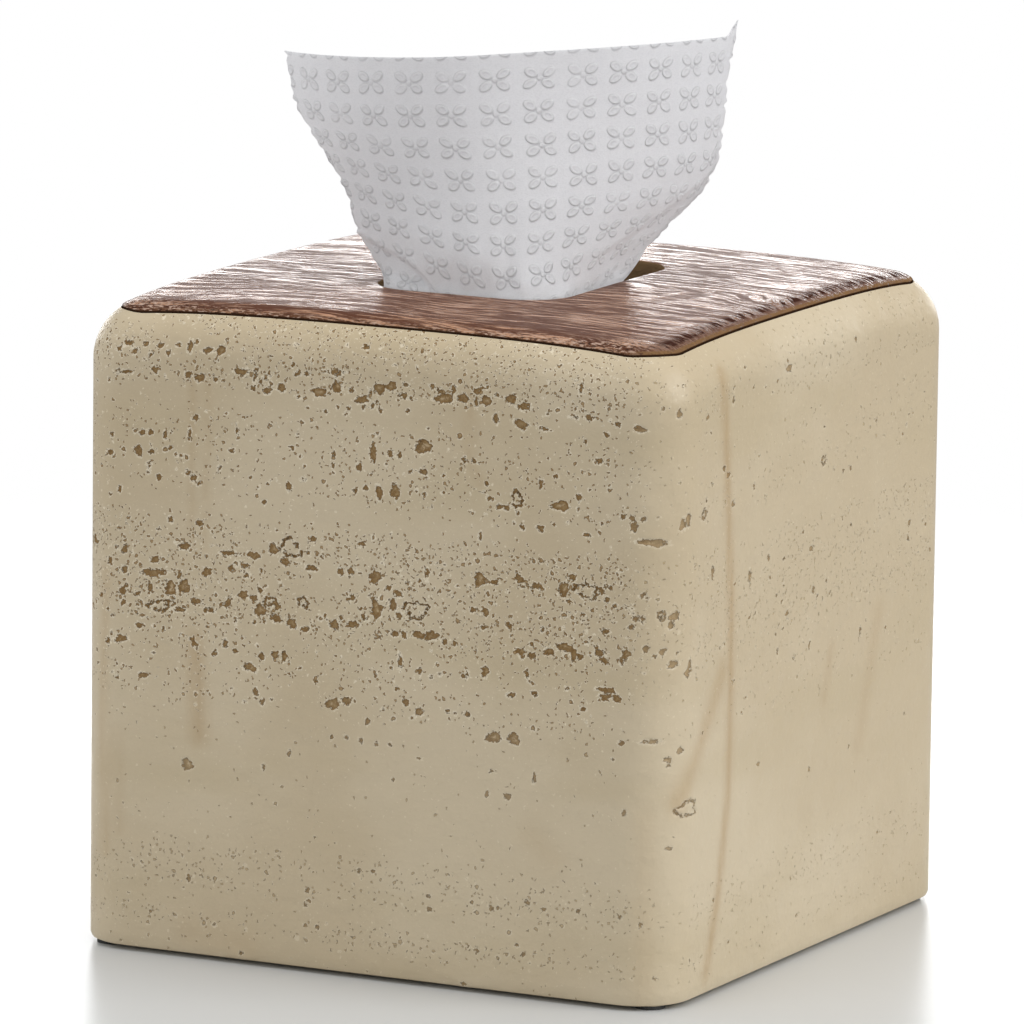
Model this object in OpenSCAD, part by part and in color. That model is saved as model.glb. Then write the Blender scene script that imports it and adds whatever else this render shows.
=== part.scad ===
// Square tissue box cover: a cast stone-look shell with a wooden top,
// standing over a cube carton of tissues with one sheet pulled up through the slot.
// Millimetres, +Z up, origin on the table under the middle of the cover.

/* [Carton] */
// Width and depth of the tissue carton
carton_w = 111; // [100:1:125]
// Height of the tissue carton
carton_h = 124.5; // [110:0.5:140]
// Thickness of the carton's card
card_t = 0.5; // [0.4:0.1:1]
// Depth of the glued bottom flap that comes from the front
bottom_flap_l = 92; // [70:1:98]
// Air between the carton and the shell on each side
carton_gap = 4.5; // [4.2:0.1:8]
// Air between the carton and the shell's deck
carton_headroom = 1.6; // [1:0.1:8]
// Width of card round the slot that the carton's mouth leaves open
mouth_margin = 8; // [5:1:12]
// Corner radius of the carton's mouth
mouth_r = 24; // [12:1:28]
// Thickness of the plastic film under the mouth
film_t = 0.2; // [0.1:0.05:0.4]
// Width of the film's glued edge
film_lap = 9; // [5:1:12]
// Air between the film's slit and the pulled sheet
slit_gap = 0.9; // [0.6:0.1:2]

/* [Stone shell] */
// Thickness of the shell's side walls
wall = 7.5; // [6:0.5:10]
// Thickness of the deck that closes the shell's top
deck_t = 2.5; // [2:0.25:5]
// Radius of the shell's upright corners
corner_r = 11.5; // [9:0.5:14]
// Radius of the rolled shoulder between the sides and the top
shoulder_r = 10.2; // [8:0.2:11]
// Height that the middle of the top stands above its corners
crown = 1.8; // [0:0.1:2.4]
// Further drop of the top at each corner of the shell's outline
corner_fall = 2.9; // [0:0.1:4]
// Radius of the small round at the shell's foot
foot_r = 1.2; // [0.5:0.1:2]
// Corner radius of the cavity
cavity_r = 6; // [3:0.5:9]

/* [Wooden top] */
// Thickness of the wood at its middle
wood_t = 5.4; // [4.5:0.1:8]
// Distance from the shell's side to the wood's edge
wood_inset = 5; // [4:0.25:6.5]
// Corner radius of the wood's outline
wood_r = 8.5; // [4:0.25:10]
// Height that the wood stands proud of the shell
wood_proud = 0.35; // [0:0.05:0.6]
// Width of the open joint round the wood
wood_joint = 0.2; // [0.1:0.05:0.5]
// Thickness of the bonding sheet under the wood
bond_t = 0.5; // [0.3:0.1:1]
// Distance from the wood's edge to the bonding sheet's edge
bond_inset = 2; // [1:0.5:5]

/* [Slot] */
// Width of the slot, left to right
slot_w = 42; // [36:1:48]
// Length of the slot, front to back
slot_l = 60; // [52:1:66]
// Corner radius of the slot
slot_r = 10; // [7:0.5:14]
// Width of the eased edge round the top of the slot
slot_ease = 0.8; // [0.3:0.1:1.4]
// Width that the deck's slot is larger than the wood's, on each side
deck_slot_margin = 1; // [0.5:0.25:2]

/* [Base pads] */
// Diameter of each pad
pad_d = 6; // [4:0.5:6.5]
// Thickness of each pad
pad_t = 1.6; // [1.2:0.1:2.5]
// Height of each pad that stands out below the shell
pad_proud = 0.8; // [0.4:0.1:1]
// Air round each pad in its pocket
pad_gap = 0.2; // [0.1:0.05:0.4]

/* [Pulled tissue] */
// Thickness of the gathered sheet
sheet_t = 0.6; // [0.4:0.1:1]
// Air between the sheet and the slot's wall
sheet_gap = 0.5; // [0.4:0.1:1.2]
// Distance from the slot's middle to the sheet's left edge, along the slot's front and round its corner
sheet_left = 22; // [8:1:24]
// Distance from the slot's middle to the sheet's right edge, along the slot's side
sheet_back = 6; // [0:1:12]
// Height of the sheet's top edge above the wood at its left end
rise_left = 45; // [30:1:70]
// Height of the sheet's top edge above the wood at its right end
rise_right = 50.5; // [30:0.5:75]
// Radius of the fan that the sheet's top edge bends round
fan_r = 52; // [45:1:80]
// Half of the angle that the top edge covers
fan_half_angle = 64; // [35:1:70]
// Direction that the fan faces, turned from the front towards the right
fan_turn = 27; // [0:1:45]
// Distance from the slot's middle to the middle of the top edge
fan_reach = 18; // [8:1:30]
// Sideways shift of the fan to its right
fan_shift = -2.7; // [-8:0.1:8]

/* [Folded tissues] */
// Height of the stack that is left in the carton
stack_h = 44; // [20:1:70]
// Number of folded layers that show in the stack's sides
stack_layers = 12; // [6:1:24]
// Air between the stack and the carton's walls
stack_gap = 1.5; // [1:0.25:4]
// Air between the pulled sheet's tail and the stack
tail_gap = 1.5; // [1:0.5:6]
// Half width of the next sheet where it is gathered
next_top_half = 12; // [6:1:14]
// Half width of the next sheet where it leaves the stack
next_base_half = 46; // [30:1:50]
// Distance from the middle to the gathered top of the next sheet, towards the front
next_top_front = 17; // [12:1:20]
// Distance from the middle to the foot of the next sheet, towards the back
next_base_back = 38; // [32:1:46]
// Air between the next sheet's top and the film
next_top_gap = 7; // [4:1:20]

/* [Hidden] */

// One overrun that lets every cut break through its surface
overrun = 1;
// Segments in each rounded corner, and cuts along each straight side between two corners
corner_steps = 8;
side_steps = 6;
// Steps round the shoulder and the foot, and rings over the crowned top
shoulder_steps = 8;
foot_steps = 3;
crown_rings = 4;
ring_count = 4*(corner_steps + side_steps);
// Steps across and up the sheets
across_steps = 30;
up_steps = 14;
fold_steps = 6;
slit_steps = 36;

// Heights from the table up
cavity_h = carton_h + carton_headroom;
recess_z = cavity_h + deck_t;
wood_z = recess_z + bond_t;
cover_h = wood_z + wood_t;
// Widths from the carton out
cavity_w = carton_w + 2*carton_gap;
cover_w = cavity_w + 2*wall;
wood_w = cover_w - 2*wood_inset;
bond_w = wood_w - 2*bond_inset;
mouth_w = slot_w + 2*mouth_margin;
mouth_l = slot_l + 2*mouth_margin;
film_z = carton_h - card_t - film_t;
// The carton's bottom is two layers of card
stack_z = 2*card_t;
stack_top = stack_z + stack_h;
stack_w = carton_w - 2*card_t - 2*stack_gap;
tail_z = stack_top + tail_gap;
// The line that the sheet follows inside the slot, and its runs before, round and after the front right corner
path_inset = sheet_gap + sheet_t/2;
path_r = slot_r - path_inset;
front_run = sheet_left + slot_w/2 - slot_r;
corner_run = path_r*PI/2;
side_run = slot_l/2 - slot_r + sheet_back;
path_l = front_run + corner_run + side_run;
// Pads sit midway through the wall, on its corner's diagonal
outer_diagonal = (cover_w/2 - corner_r)*sqrt(2) + corner_r;
inner_diagonal = (cavity_w/2 - cavity_r)*sqrt(2) + cavity_r;
pad_place = (outer_diagonal + inner_diagonal)/2/sqrt(2);
// How steeply each end of the sheet opens out above the slot
left_flare_share = 1.5;
right_flare_share = 2.5;
// How far the rows of the sheet crowd towards the slot, where it turns most
row_crowding_share = 0.5;
// How fast the next sheet narrows as it rises, and how fast it leans forward
next_narrowing_share = 2;
next_lean_share = 2;
// Thickness of each end of the slot's easing, as a share of the easing's width
easing_end_share = 0.125;

function mix(a, b, share) = a + (b - a)*share;
function flatten(rows) = [for (row = rows) for (p = row) p];

// Point k of a rounded square or rectangle, counter-clockwise, at one corner of four or along the side after it
function outline_point(half_x, half_y, r, k) =
    let (
        corner = floor(k/(corner_steps + side_steps)),
        step = k % (corner_steps + side_steps),
        turn = corner*90,
        sign_x = (corner == 0 || corner == 3) ? 1 : -1,
        sign_y = (corner < 2) ? 1 : -1,
        centre = [sign_x*(half_x - r), sign_y*(half_y - r)],
        next_x = (corner == 0 || corner == 1) ? -1 : 1,
        next_y = (corner == 0 || corner == 3) ? 1 : -1,
        next = [next_x*(half_x - r), next_y*(half_y - r)],
        angle = turn + 90*min(step, corner_steps)/corner_steps,
        start = centre + r*[cos(angle), sin(angle)],
        finish = next + r*[cos(turn + 90), sin(turn + 90)]
    )
    step <= corner_steps ? start : mix(start, finish, (step - corner_steps)/side_steps);

function outline(half_x, half_y, r) =
    [for (k = [0:ring_count - 1]) outline_point(half_x, half_y, r, k)];

module rounded_rectangle(w, l, r) {
    polygon(outline(w/2, l/2, r));
}

module rounded_prism(w, l, r, z, h) {
    translate([0, 0, z])
        linear_extrude(h)
            rounded_rectangle(w, l, r);
}

// Drop of the crowned top below its middle
function crown_drop(p) =
    let (x = 2*p.x/cover_w, y = 2*p.y/cover_w)
    crown*(pow(x, 2) + pow(y, 2))/2 + corner_fall*pow(x*y, 4);

// Rings of the crowned block, from its foot to its middle, pushed out by proud
function foot_ring(k, proud) =
    let (
        angle = 90*k/foot_steps,
        inset = foot_r*(1 - sin(angle)) - proud,
        z = pad_proud + foot_r*(1 - cos(angle))
    )
    [for (p = outline(cover_w/2 - inset, cover_w/2 - inset, corner_r - inset)) [p.x, p.y, z]];

function shoulder_ring(k, proud) =
    let (
        angle = 90*k/shoulder_steps,
        inset = shoulder_r*(1 - cos(angle)) - proud*cos(angle),
        z = cover_h + proud*sin(angle) - shoulder_r*(1 - sin(angle))
    )
    [for (p = outline(cover_w/2 - inset, cover_w/2 - inset, corner_r - inset)) [p.x, p.y, z - crown_drop(p)]];

function crown_ring(k, proud) =
    let (share = 1 - k/crown_rings, half = (cover_w/2 - shoulder_r)*share, r = (corner_r - shoulder_r)*share)
    [for (p = outline(half, half, r)) [p.x, p.y, cover_h + proud - crown_drop(p)]];

// Faces of a closed stack of rings, fanned to a point in the middle of its foot and one in the middle of its top
function stack_faces(rings, n) =
    let (foot_point = rings*n, top_point = rings*n + 1, last = (rings - 1)*n)
    concat(
        [for (k = [0:n - 1]) [k, (k + 1) % n, foot_point]],
        [for (j = [0:rings - 2]) for (k = [0:n - 1])
            let (a = j*n + k, b = j*n + (k + 1) % n) each [[a, a + n, b], [b, a + n, b + n]]],
        [for (k = [0:n - 1]) [last + k, top_point, last + (k + 1) % n]]
    );

module crowned_block(proud) {
    rings = concat(
        [for (k = [0:foot_steps]) foot_ring(k, proud)],
        [for (k = [0:shoulder_steps]) shoulder_ring(k, proud)],
        [for (k = [1:crown_rings - 1]) crown_ring(k, proud)]
    );
    polyhedron(
        concat(flatten(rings), [[0, 0, pad_proud], [0, 0, cover_h + proud]]),
        stack_faces(len(rings), ring_count)
    );
}

module at_pads() {
    for (x = [-1, 1], y = [-1, 1])
        translate([x*pad_place, y*pad_place, 0])
            children();
}

module stone_shell() {
    color([0.79, 0.72, 0.60])
        difference() {
            crowned_block(0);
            rounded_prism(cavity_w, cavity_w, cavity_r, -overrun, cavity_h + overrun);
            rounded_prism(wood_w + 2*wood_joint, wood_w + 2*wood_joint, wood_r + wood_joint,
                recess_z, wood_t + bond_t + overrun);
            rounded_prism(slot_w + 2*deck_slot_margin, slot_l + 2*deck_slot_margin,
                slot_r + deck_slot_margin, cavity_h - overrun, deck_t + 2*overrun);
            at_pads()
                cylinder(h = pad_t, d = pad_d + 2*pad_gap, $fn = 32);
        }
}

module bonding_sheet() {
    color([0.85, 0.84, 0.80])
        translate([0, 0, recess_z])
            linear_extrude(bond_t)
                difference() {
                    rounded_rectangle(bond_w, bond_w, wood_r);
                    rounded_rectangle(slot_w + 2*deck_slot_margin, slot_l + 2*deck_slot_margin,
                        slot_r + deck_slot_margin);
                }
}

// The slot's eased edge widens from below the wood's face to well above it
module slot_easing() {
    low = cover_h - slot_ease;
    high = cover_h + overrun;
    spread = slot_ease + overrun;
    hull() {
        rounded_prism(slot_w, slot_l, slot_r, low, slot_ease*easing_end_share);
        rounded_prism(slot_w + 2*spread, slot_l + 2*spread, slot_r + spread, high,
            slot_ease*easing_end_share);
    }
}

module wood_top() {
    color([0.36, 0.22, 0.15])
        difference() {
            intersection() {
                crowned_block(wood_proud);
                rounded_prism(wood_w, wood_w, wood_r, wood_z, wood_t + overrun);
            }
            rounded_prism(slot_w, slot_l, slot_r, wood_z - overrun, wood_t + 2*overrun);
            slot_easing();
        }
}

module base_pad(side_x, side_y) {
    color([0.25, 0.24, 0.22])
        translate([side_x*pad_place, side_y*pad_place, 0])
            cylinder(h = pad_t, d = pad_d, $fn = 32);
}

module card_box() {
    difference() {
        translate([-carton_w/2, -carton_w/2, 0])
            cube([carton_w, carton_w, carton_h]);
        translate([card_t - carton_w/2, card_t - carton_w/2, 2*card_t])
            cube([carton_w - 2*card_t, carton_w - 2*card_t, carton_h - 3*card_t]);
    }
}

module tissue_carton() {
    color([0.86, 0.90, 0.90])
        difference() {
            card_box();
            rounded_prism(mouth_w, mouth_l, mouth_r, carton_h - card_t - overrun, card_t + 2*overrun);
            // The outer bottom flap stops short of the back edge and shows the flap inside it
            translate([-carton_w/2 - overrun, bottom_flap_l - carton_w/2, -overrun])
                cube([carton_w + 2*overrun, carton_w - bottom_flap_l - card_t, card_t + overrun]);
        }
}

// Point of the sheet's line in the slot at a share of its length, moved in from the line by inward.
// The line runs round the slot's front left corner, along its front, round the next corner and back along its side.
function slot_path(share, inward = 0) =
    let (
        along = share*path_l - sheet_left,
        r = path_r - inward,
        straight = slot_w/2 - slot_r,
        centre_y = slot_r - slot_l/2,
        left_turn = min(max((-straight - along)/path_r*180/PI, 0), 90),
        right_turn = min(max((along - straight)/path_r*180/PI, 0), 90)
    )
    along > straight + corner_run ? [straight + r, centre_y + along - straight - corner_run] :
    along > straight ? [straight + r*sin(right_turn), centre_y - r*cos(right_turn)] :
    along < -straight ? [-straight - r*sin(left_turn), centre_y - r*cos(left_turn)] :
    [along, centre_y - r];

module slit_film() {
    outer_side = [for (k = [0:slit_steps]) slot_path(mix(-slit_gap/path_l, 1 + slit_gap/path_l, k/slit_steps),
        -sheet_t/2 - slit_gap)];
    inner_side = [for (k = [0:slit_steps]) slot_path(mix(1 + slit_gap/path_l, -slit_gap/path_l, k/slit_steps),
        sheet_t/2 + slit_gap)];
    color([0.80, 0.86, 0.88, 0.6])
        translate([0, 0, film_z])
            linear_extrude(film_t)
                difference() {
                    square([mouth_w + 2*film_lap, mouth_l + 2*film_lap], center = true);
                    polygon(concat(outer_side, inner_side));
                }
}

// Outline of the interfolded stack from the front: every layer ends in a rounded fold
function fold_side(side) =
    let (layer_h = stack_h/stack_layers, r = layer_h/2)
    [for (layer = [0:stack_layers - 1], k = [0:fold_steps])
        let (angle = 180*k/fold_steps - 90)
        [side*(stack_w/2 - r + r*cos(angle)), (layer + 0.5)*layer_h + r*sin(angle)]];

module tissue_stack() {
    right = fold_side(1);
    left = fold_side(-1);
    color([0.95, 0.95, 0.94])
        translate([0, stack_w/2, stack_z])
            rotate([90, 0, 0])
                linear_extrude(stack_w)
                    polygon(concat(right, [for (k = [len(left) - 1:-1:0]) left[k]]));
}

// A closed thin solid between two grids of points, each a list of rows
module thin_solid(front, back) {
    rows = len(front);
    n = len(front[0]);
    back_start = rows*n;
    points = concat(flatten(front), flatten(back));
    front_faces = [for (j = [0:rows - 2], k = [0:n - 2])
        let (a = j*n + k) each [[a, a + n, a + 1], [a + 1, a + n, a + n + 1]]];
    back_faces = [for (f = front_faces) [f[2] + back_start, f[1] + back_start, f[0] + back_start]];
    rim = concat(
        [for (k = [0:n - 1]) k],
        [for (j = [1:rows - 1]) j*n + n - 1],
        [for (k = [n - 2:-1:0]) (rows - 1)*n + k],
        [for (j = [rows - 2:-1:1]) j*n]
    );
    rim_faces = [for (k = [0:len(rim) - 1])
        let (a = rim[k], b = rim[(k + 1) % len(rim)])
        each [[a, b, a + back_start], [b, b + back_start, a + back_start]]];
    polyhedron(points, concat(front_faces, back_faces, rim_faces));
}

// Two grids on either side of a surface, half a thickness out along its level normal
function grid_beside(rows, offset) = [for (row = rows) [for (k = [0:len(row) - 1])
    let (
        ahead = row[min(k + 1, len(row) - 1)] - row[max(k - 1, 0)],
        level = [ahead.y, -ahead.x]/norm([ahead.x, ahead.y])
    )
    row[k] + offset*[level.x, level.y, 0]]];

// Point of the fan's top edge at a share of its width
function fan_path(share) =
    let (
        facing = [sin(fan_turn), -cos(fan_turn)],
        right = [cos(fan_turn), sin(fan_turn)],
        angle = mix(-fan_half_angle, fan_half_angle, share),
        centre = (fan_reach - fan_r)*facing + fan_shift*right
    )
    centre + fan_r*(sin(angle)*right + cos(angle)*facing);

// Share of the way from the slot to the fan at a share of the width and of the height
function flare(across, up) =
    mix(pow(sin(90*up), left_flare_share), 1 - pow(1 - up, right_flare_share), across);

function pulled_point(across, up) =
    let (plan = mix(slot_path(across), fan_path(across), flare(across, up)))
    [plan.x, plan.y, cover_h + up*mix(rise_left, rise_right, across)];

module pulled_tissue() {
    tail = [for (k = [0:across_steps])
        let (plan = slot_path(k/across_steps)) [plan.x, plan.y, tail_z]];
    fan = [for (j = [0:up_steps]) [for (k = [0:across_steps])
        pulled_point(k/across_steps, mix(j/up_steps, pow(j/up_steps, 2), row_crowding_share))]];
    rows = concat([tail], fan);
    color([0.97, 0.97, 0.98])
        thin_solid(grid_beside(rows, sheet_t/2), grid_beside(rows, -sheet_t/2));
}

// The next sheet leaves the stack wide, near its back, and is gathered behind the pulled one
function next_point(across, down) =
    let (half = mix(next_top_half, next_base_half, pow(down, next_narrowing_share)))
    [
        (2*across - 1)*half,
        mix(-next_top_front, next_base_back, 1 - pow(1 - down, next_lean_share)),
        mix(film_z - next_top_gap, stack_top + sheet_t, down)
    ];

module next_tissue() {
    rows = [for (j = [0:up_steps]) [for (k = [0:across_steps])
        next_point(k/across_steps, 1 - j/up_steps)]];
    color([0.93, 0.93, 0.94])
        thin_solid(grid_beside(rows, sheet_t/2), grid_beside(rows, -sheet_t/2));
}

stone_shell();
bonding_sheet();
wood_top();
base_pad(-1, -1);  // base_pad_front_left
base_pad(1, -1);  // base_pad_front_right
base_pad(-1, 1);  // base_pad_back_left
base_pad(1, 1);  // base_pad_back_right
tissue_carton();
slit_film();
tissue_stack();
next_tissue();
pulled_tissue();
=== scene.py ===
"""Looks for a square tissue box cover: pitted stone shell, brushed wooden top and one pulled tissue."""

import math
import random

import bmesh
import bpy
import numpy as np
from mathutils import Matrix, Vector, geometry


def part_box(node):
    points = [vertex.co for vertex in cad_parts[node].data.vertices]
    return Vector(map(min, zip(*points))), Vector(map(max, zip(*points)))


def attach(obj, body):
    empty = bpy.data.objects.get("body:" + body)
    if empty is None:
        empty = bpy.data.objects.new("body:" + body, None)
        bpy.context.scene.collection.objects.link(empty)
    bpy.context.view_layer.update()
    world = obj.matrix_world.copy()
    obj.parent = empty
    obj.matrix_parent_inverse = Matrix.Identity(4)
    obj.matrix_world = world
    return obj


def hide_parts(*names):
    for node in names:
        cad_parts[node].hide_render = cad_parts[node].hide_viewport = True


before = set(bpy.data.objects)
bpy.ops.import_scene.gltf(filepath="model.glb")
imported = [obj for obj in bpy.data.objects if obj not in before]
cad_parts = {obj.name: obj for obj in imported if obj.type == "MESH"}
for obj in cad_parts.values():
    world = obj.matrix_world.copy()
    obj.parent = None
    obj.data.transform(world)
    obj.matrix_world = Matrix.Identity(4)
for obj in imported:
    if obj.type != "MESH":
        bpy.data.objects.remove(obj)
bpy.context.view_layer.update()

# Every length below is in millimetres, and meshes are scaled to metres as they are made
MM = 0.001


def node_box(name):
    """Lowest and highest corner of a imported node, in millimetres."""
    low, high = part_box(name)
    return low / MM, high / MM


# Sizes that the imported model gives
shell_low, shell_high = node_box("stone_shell")
wood_low, wood_high = node_box("wood_top")
stack_low, stack_high = node_box("tissue_stack")
pad_low, pad_high = node_box("base_pad_front_right")
cover_w = shell_high.x - shell_low.x
wood_w = wood_high.x - wood_low.x
pad_proud = shell_low.z
recess_z = node_box("bonding_sheet")[0].z
wood_z = wood_low.z
stack_top = stack_high.z
stack_w = stack_high.x - stack_low.x
film_z = node_box("slit_film")[0].z
pad_radius = (pad_high.x - pad_low.x) / 2
pad_top = pad_high.z
pad_place = pad_high.x - pad_radius
tail_z = node_box("pulled_tissue")[0].z

# Sizes that the part's source gives, in the same words
wall = 7.5
deck_t = 2.5
corner_r = 11.5
shoulder_r = 10.2
crown = 1.8
corner_fall = 2.9
foot_r = 1.2
cavity_r = 6
wood_t = 5.4
wood_r = 8.5
wood_proud = 0.35
wood_joint = 0.2
slot_w, slot_l, slot_r = 42, 60, 10
slot_ease = 0.8
deck_slot_margin = 1
pad_gap = 0.2
sheet_gap = 0.5
sheet_t = 0.6
sheet_left, sheet_back = 22, 6
rise_left, rise_right = 45, 50.5
fan_r = 52
fan_half_angle = math.radians(64)
fan_turn = math.radians(27)
fan_reach = 18
fan_shift = -2.7
left_flare_share, right_flare_share = 1.5, 2.5
next_top_half, next_base_half = 12, 46
next_top_front, next_base_back = 17, 38
next_top_gap = 7

cover_h = wood_z + wood_t
half_w = cover_w / 2
cavity_h = recess_z - deck_t
cavity_w = cover_w - 2 * wall


def mix(a, b, share):
    return a + (b - a) * share


def smooth_step(low, high, value):
    share = np.clip((value - low) / (high - low), 0, 1)
    return share * share * (3 - 2 * share)


def add_object(name, data):
    """Makes an object and puts it into the scene."""
    made = bpy.data.objects.new(name, data)
    bpy.context.scene.collection.objects.link(made)
    return made


# Camera, placed where the photograph was taken from
view_azimuth = math.radians(26.644)
view_elevation = math.radians(9.928)
view_roll = math.radians(0.7073)
view_distance = 2084.6
view_aim = Vector((-2.7, 2.1, 84.8))
lens_mm = 355.84
sensor_mm = 36


def add_camera():
    forward = Vector((
        -math.sin(view_azimuth) * math.cos(view_elevation),
        math.cos(view_azimuth) * math.cos(view_elevation),
        -math.sin(view_elevation),
    ))
    level = Vector((math.cos(view_azimuth), math.sin(view_azimuth), 0))
    upright = level.cross(forward)
    right = math.cos(view_roll) * level + math.sin(view_roll) * upright
    up = right.cross(forward)
    camera = add_object("camera", bpy.data.cameras.new("camera"))
    turn = Matrix((right, up, -forward)).transposed().to_4x4()
    camera.matrix_world = Matrix.Translation((view_aim - view_distance * forward) * MM) @ turn
    camera.data.lens = lens_mm
    camera.data.sensor_width = sensor_mm
    camera.data.clip_start = 0.1
    camera.data.clip_end = 20
    bpy.context.scene.camera = camera


add_camera()


class Value:
    """A number, vector or colour inside a node tree, so that its formulas read as arithmetic."""

    def __init__(self, nodes, socket):
        self.nodes = nodes
        self.socket = socket

    def __add__(self, other):
        return self.nodes.math("ADD", self, other)

    def __sub__(self, other):
        return self.nodes.math("SUBTRACT", self, other)

    def __rsub__(self, other):
        return self.nodes.math("SUBTRACT", other, self)

    def __mul__(self, other):
        return self.nodes.math("MULTIPLY", self, other)

    def __truediv__(self, other):
        return self.nodes.math("DIVIDE", self, other)

    __radd__ = __add__
    __rmul__ = __mul__


def full_colour(colour):
    """A colour with its alpha, where it isn't a value that the nodes work out."""
    return colour if isinstance(colour, Value) else (*colour, 1)


class Finish:
    """One material, built value by value. Lengths in its formulas are millimetres."""

    def __init__(self, name):
        self.material = bpy.data.materials.new(name)
        self.material.use_nodes = True
        self.tree = self.material.node_tree
        self.tree.nodes.clear()
        self.output = self.add("ShaderNodeOutputMaterial")
        coordinates = self.add("ShaderNodeTexCoord").outputs["Object"]
        scaled = self.add("ShaderNodeVectorMath", {0: coordinates, "Scale": 1 / MM}, operation="SCALE")
        self.place = Value(self, scaled.outputs[0])
        apart = self.add("ShaderNodeSeparateXYZ", {0: self.place})
        self.x, self.y, self.z = (Value(self, socket) for socket in apart.outputs)

    def add(self, kind, inputs=(), **settings):
        """A node with its settings, and with what its inputs are fed, by number or name."""
        node = self.tree.nodes.new(kind)
        for key, value in settings.items():
            setattr(node, key, value)
        for key, value in dict(inputs).items():
            self.feed(node.inputs[key], value)
        return node

    def feed(self, socket, value):
        if isinstance(value, Value):
            value = value.socket
        if isinstance(value, bpy.types.NodeSocket):
            self.tree.links.new(value, socket)
        else:
            socket.default_value = value

    def math(self, operation, *terms):
        return Value(self, self.add("ShaderNodeMath", enumerate(terms), operation=operation).outputs[0])

    def larger(self, a, b):
        return self.math("MAXIMUM", a, b)

    def vector(self, *parts):
        return Value(self, self.add("ShaderNodeCombineXYZ", enumerate(parts)).outputs[0])

    def step(self, value, low, high):
        """0 below low, 1 above high, and smooth in between. It falls where low is above high."""
        ends = (high, low, 1.0, 0.0) if low > high else (low, high, 0.0, 1.0)
        node = self.add("ShaderNodeMapRange", enumerate((value, *ends)), interpolation_type="SMOOTHSTEP")
        return Value(self, node.outputs[0])

    def noise(self, place, scale, detail, rough):
        inputs = {"Vector": place, "Scale": scale, "Detail": detail, "Roughness": rough}
        return Value(self, self.add("ShaderNodeTexNoise", inputs).outputs["Fac"])

    def warped(self, place, scale, detail, reach):
        """The place moved by a noise of its own along each axis."""
        noise = self.add("ShaderNodeTexNoise", {"Vector": place, "Scale": scale, "Detail": detail})
        inputs = {0: noise.outputs["Color"], 1: (reach, reach, reach), 2: place}
        return Value(self, self.add("ShaderNodeVectorMath", inputs, operation="MULTIPLY_ADD").outputs[0])

    def cells(self, place, scale):
        """Distance to the nearest of scattered points, in cell widths, and two random numbers per point."""
        node = self.add("ShaderNodeTexVoronoi", {"Vector": place, "Scale": scale})
        apart = self.add("ShaderNodeSeparateColor", {0: node.outputs["Color"]})
        sockets = (node.outputs["Distance"], apart.outputs[0], apart.outputs[1])
        return [Value(self, socket) for socket in sockets]

    def attribute(self, name):
        return Value(self, self.add("ShaderNodeAttribute", attribute_name=name).outputs["Fac"])

    def colour_mix(self, a, b, share):
        inputs = {0: share, 6: full_colour(a), 7: full_colour(b)}
        return Value(self, self.add("ShaderNodeMix", inputs, data_type="RGBA").outputs[2])

    def bump(self, height, depth, below=None):
        """A normal bent by a height from 0 to 1 that stands for depth in millimetres."""
        inputs = {"Strength": 1.0, "Distance": depth * MM, "Height": height}
        if below is not None:
            inputs["Normal"] = below
        return Value(self, self.add("ShaderNodeBump", inputs).outputs[0])

    def surface(self, colour, roughness, normal=None, **settings):
        inputs = {"Base Color": full_colour(colour), "Roughness": roughness}
        if normal is not None:
            inputs["Normal"] = normal
        for key, value in settings.items():
            inputs[key.replace("_", " ")] = value
        return self.shown(self.add("ShaderNodeBsdfPrincipled", inputs).outputs[0])

    def shown(self, shader):
        self.feed(self.output.inputs[0], shader)
        self.shader = shader
        return self.material

    def blend(self, a, b, share):
        return self.add("ShaderNodeMixShader", enumerate((share, a, b))).outputs[0]


def add_mesh(name, points, faces, finish, body, smooth=True):
    """A mesh piece from points in millimetres."""
    mesh = bpy.data.meshes.new(name)
    mesh.from_pydata((np.asarray(points, float) * MM).tolist(), [], faces)
    mesh.update()
    if smooth:
        mesh.shade_smooth()
    piece = add_object(name, mesh)
    mesh.materials.append(finish)
    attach(piece, body)
    return piece


def add_values(piece, name, values):
    """Keeps a number per point for the material to read."""
    attribute = piece.data.attributes.new(name, "FLOAT", "POINT")
    attribute.data.foreach_set("value", values.astype(np.float32))


# The cover's outline and skin

quarter = 4 * (half_w - corner_r) / 2 + corner_r * math.pi / 2
perimeter = 4 * quarter
straight = 2 * (half_w - corner_r)


def outline_at(around):
    """Points on the cover's outline, counter-clockwise from the back's middle, and which way is outward."""
    along = (np.asarray(around, float) + straight / 2) % perimeter
    side = np.floor(along / quarter)
    along = along - side * quarter
    angle = np.clip(along - straight, 0, None) / corner_r
    outward = np.stack([-np.sin(angle), np.cos(angle)], -1)
    on_side = np.minimum(along, straight)
    point = np.stack([half_w - corner_r - on_side, np.full_like(on_side, half_w - corner_r)], -1)
    point = point + corner_r * outward
    turn = side * math.pi / 2
    cos, sin = np.cos(turn), np.sin(turn)

    def turned(v):
        return np.stack([cos * v[..., 0] - sin * v[..., 1], sin * v[..., 0] + cos * v[..., 1]], -1)

    return turned(point), turned(outward)


def front_at(x):
    return perimeter / 2 + x


def right_at(y):
    return perimeter / 2 + quarter + y


# Where the middle of each side lies along the outline
SIDE_MIDDLES = {"front": front_at(0), "right": right_at(0), "back": 0, "left": perimeter / 4}


def crown_drop(x, y):
    x, y = 2 * x / cover_w, 2 * y / cover_w
    return crown * (x**2 + y**2) / 2 + corner_fall * (x * y)**4


def inset_at(x, y):
    """Distance in from the cover's outline."""
    over_x = np.abs(x) - (half_w - corner_r)
    over_y = np.abs(y) - (half_w - corner_r)
    outside = np.hypot(np.maximum(over_x, 0), np.maximum(over_y, 0))
    return corner_r - outside - np.minimum(np.maximum(over_x, over_y), 0)


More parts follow.
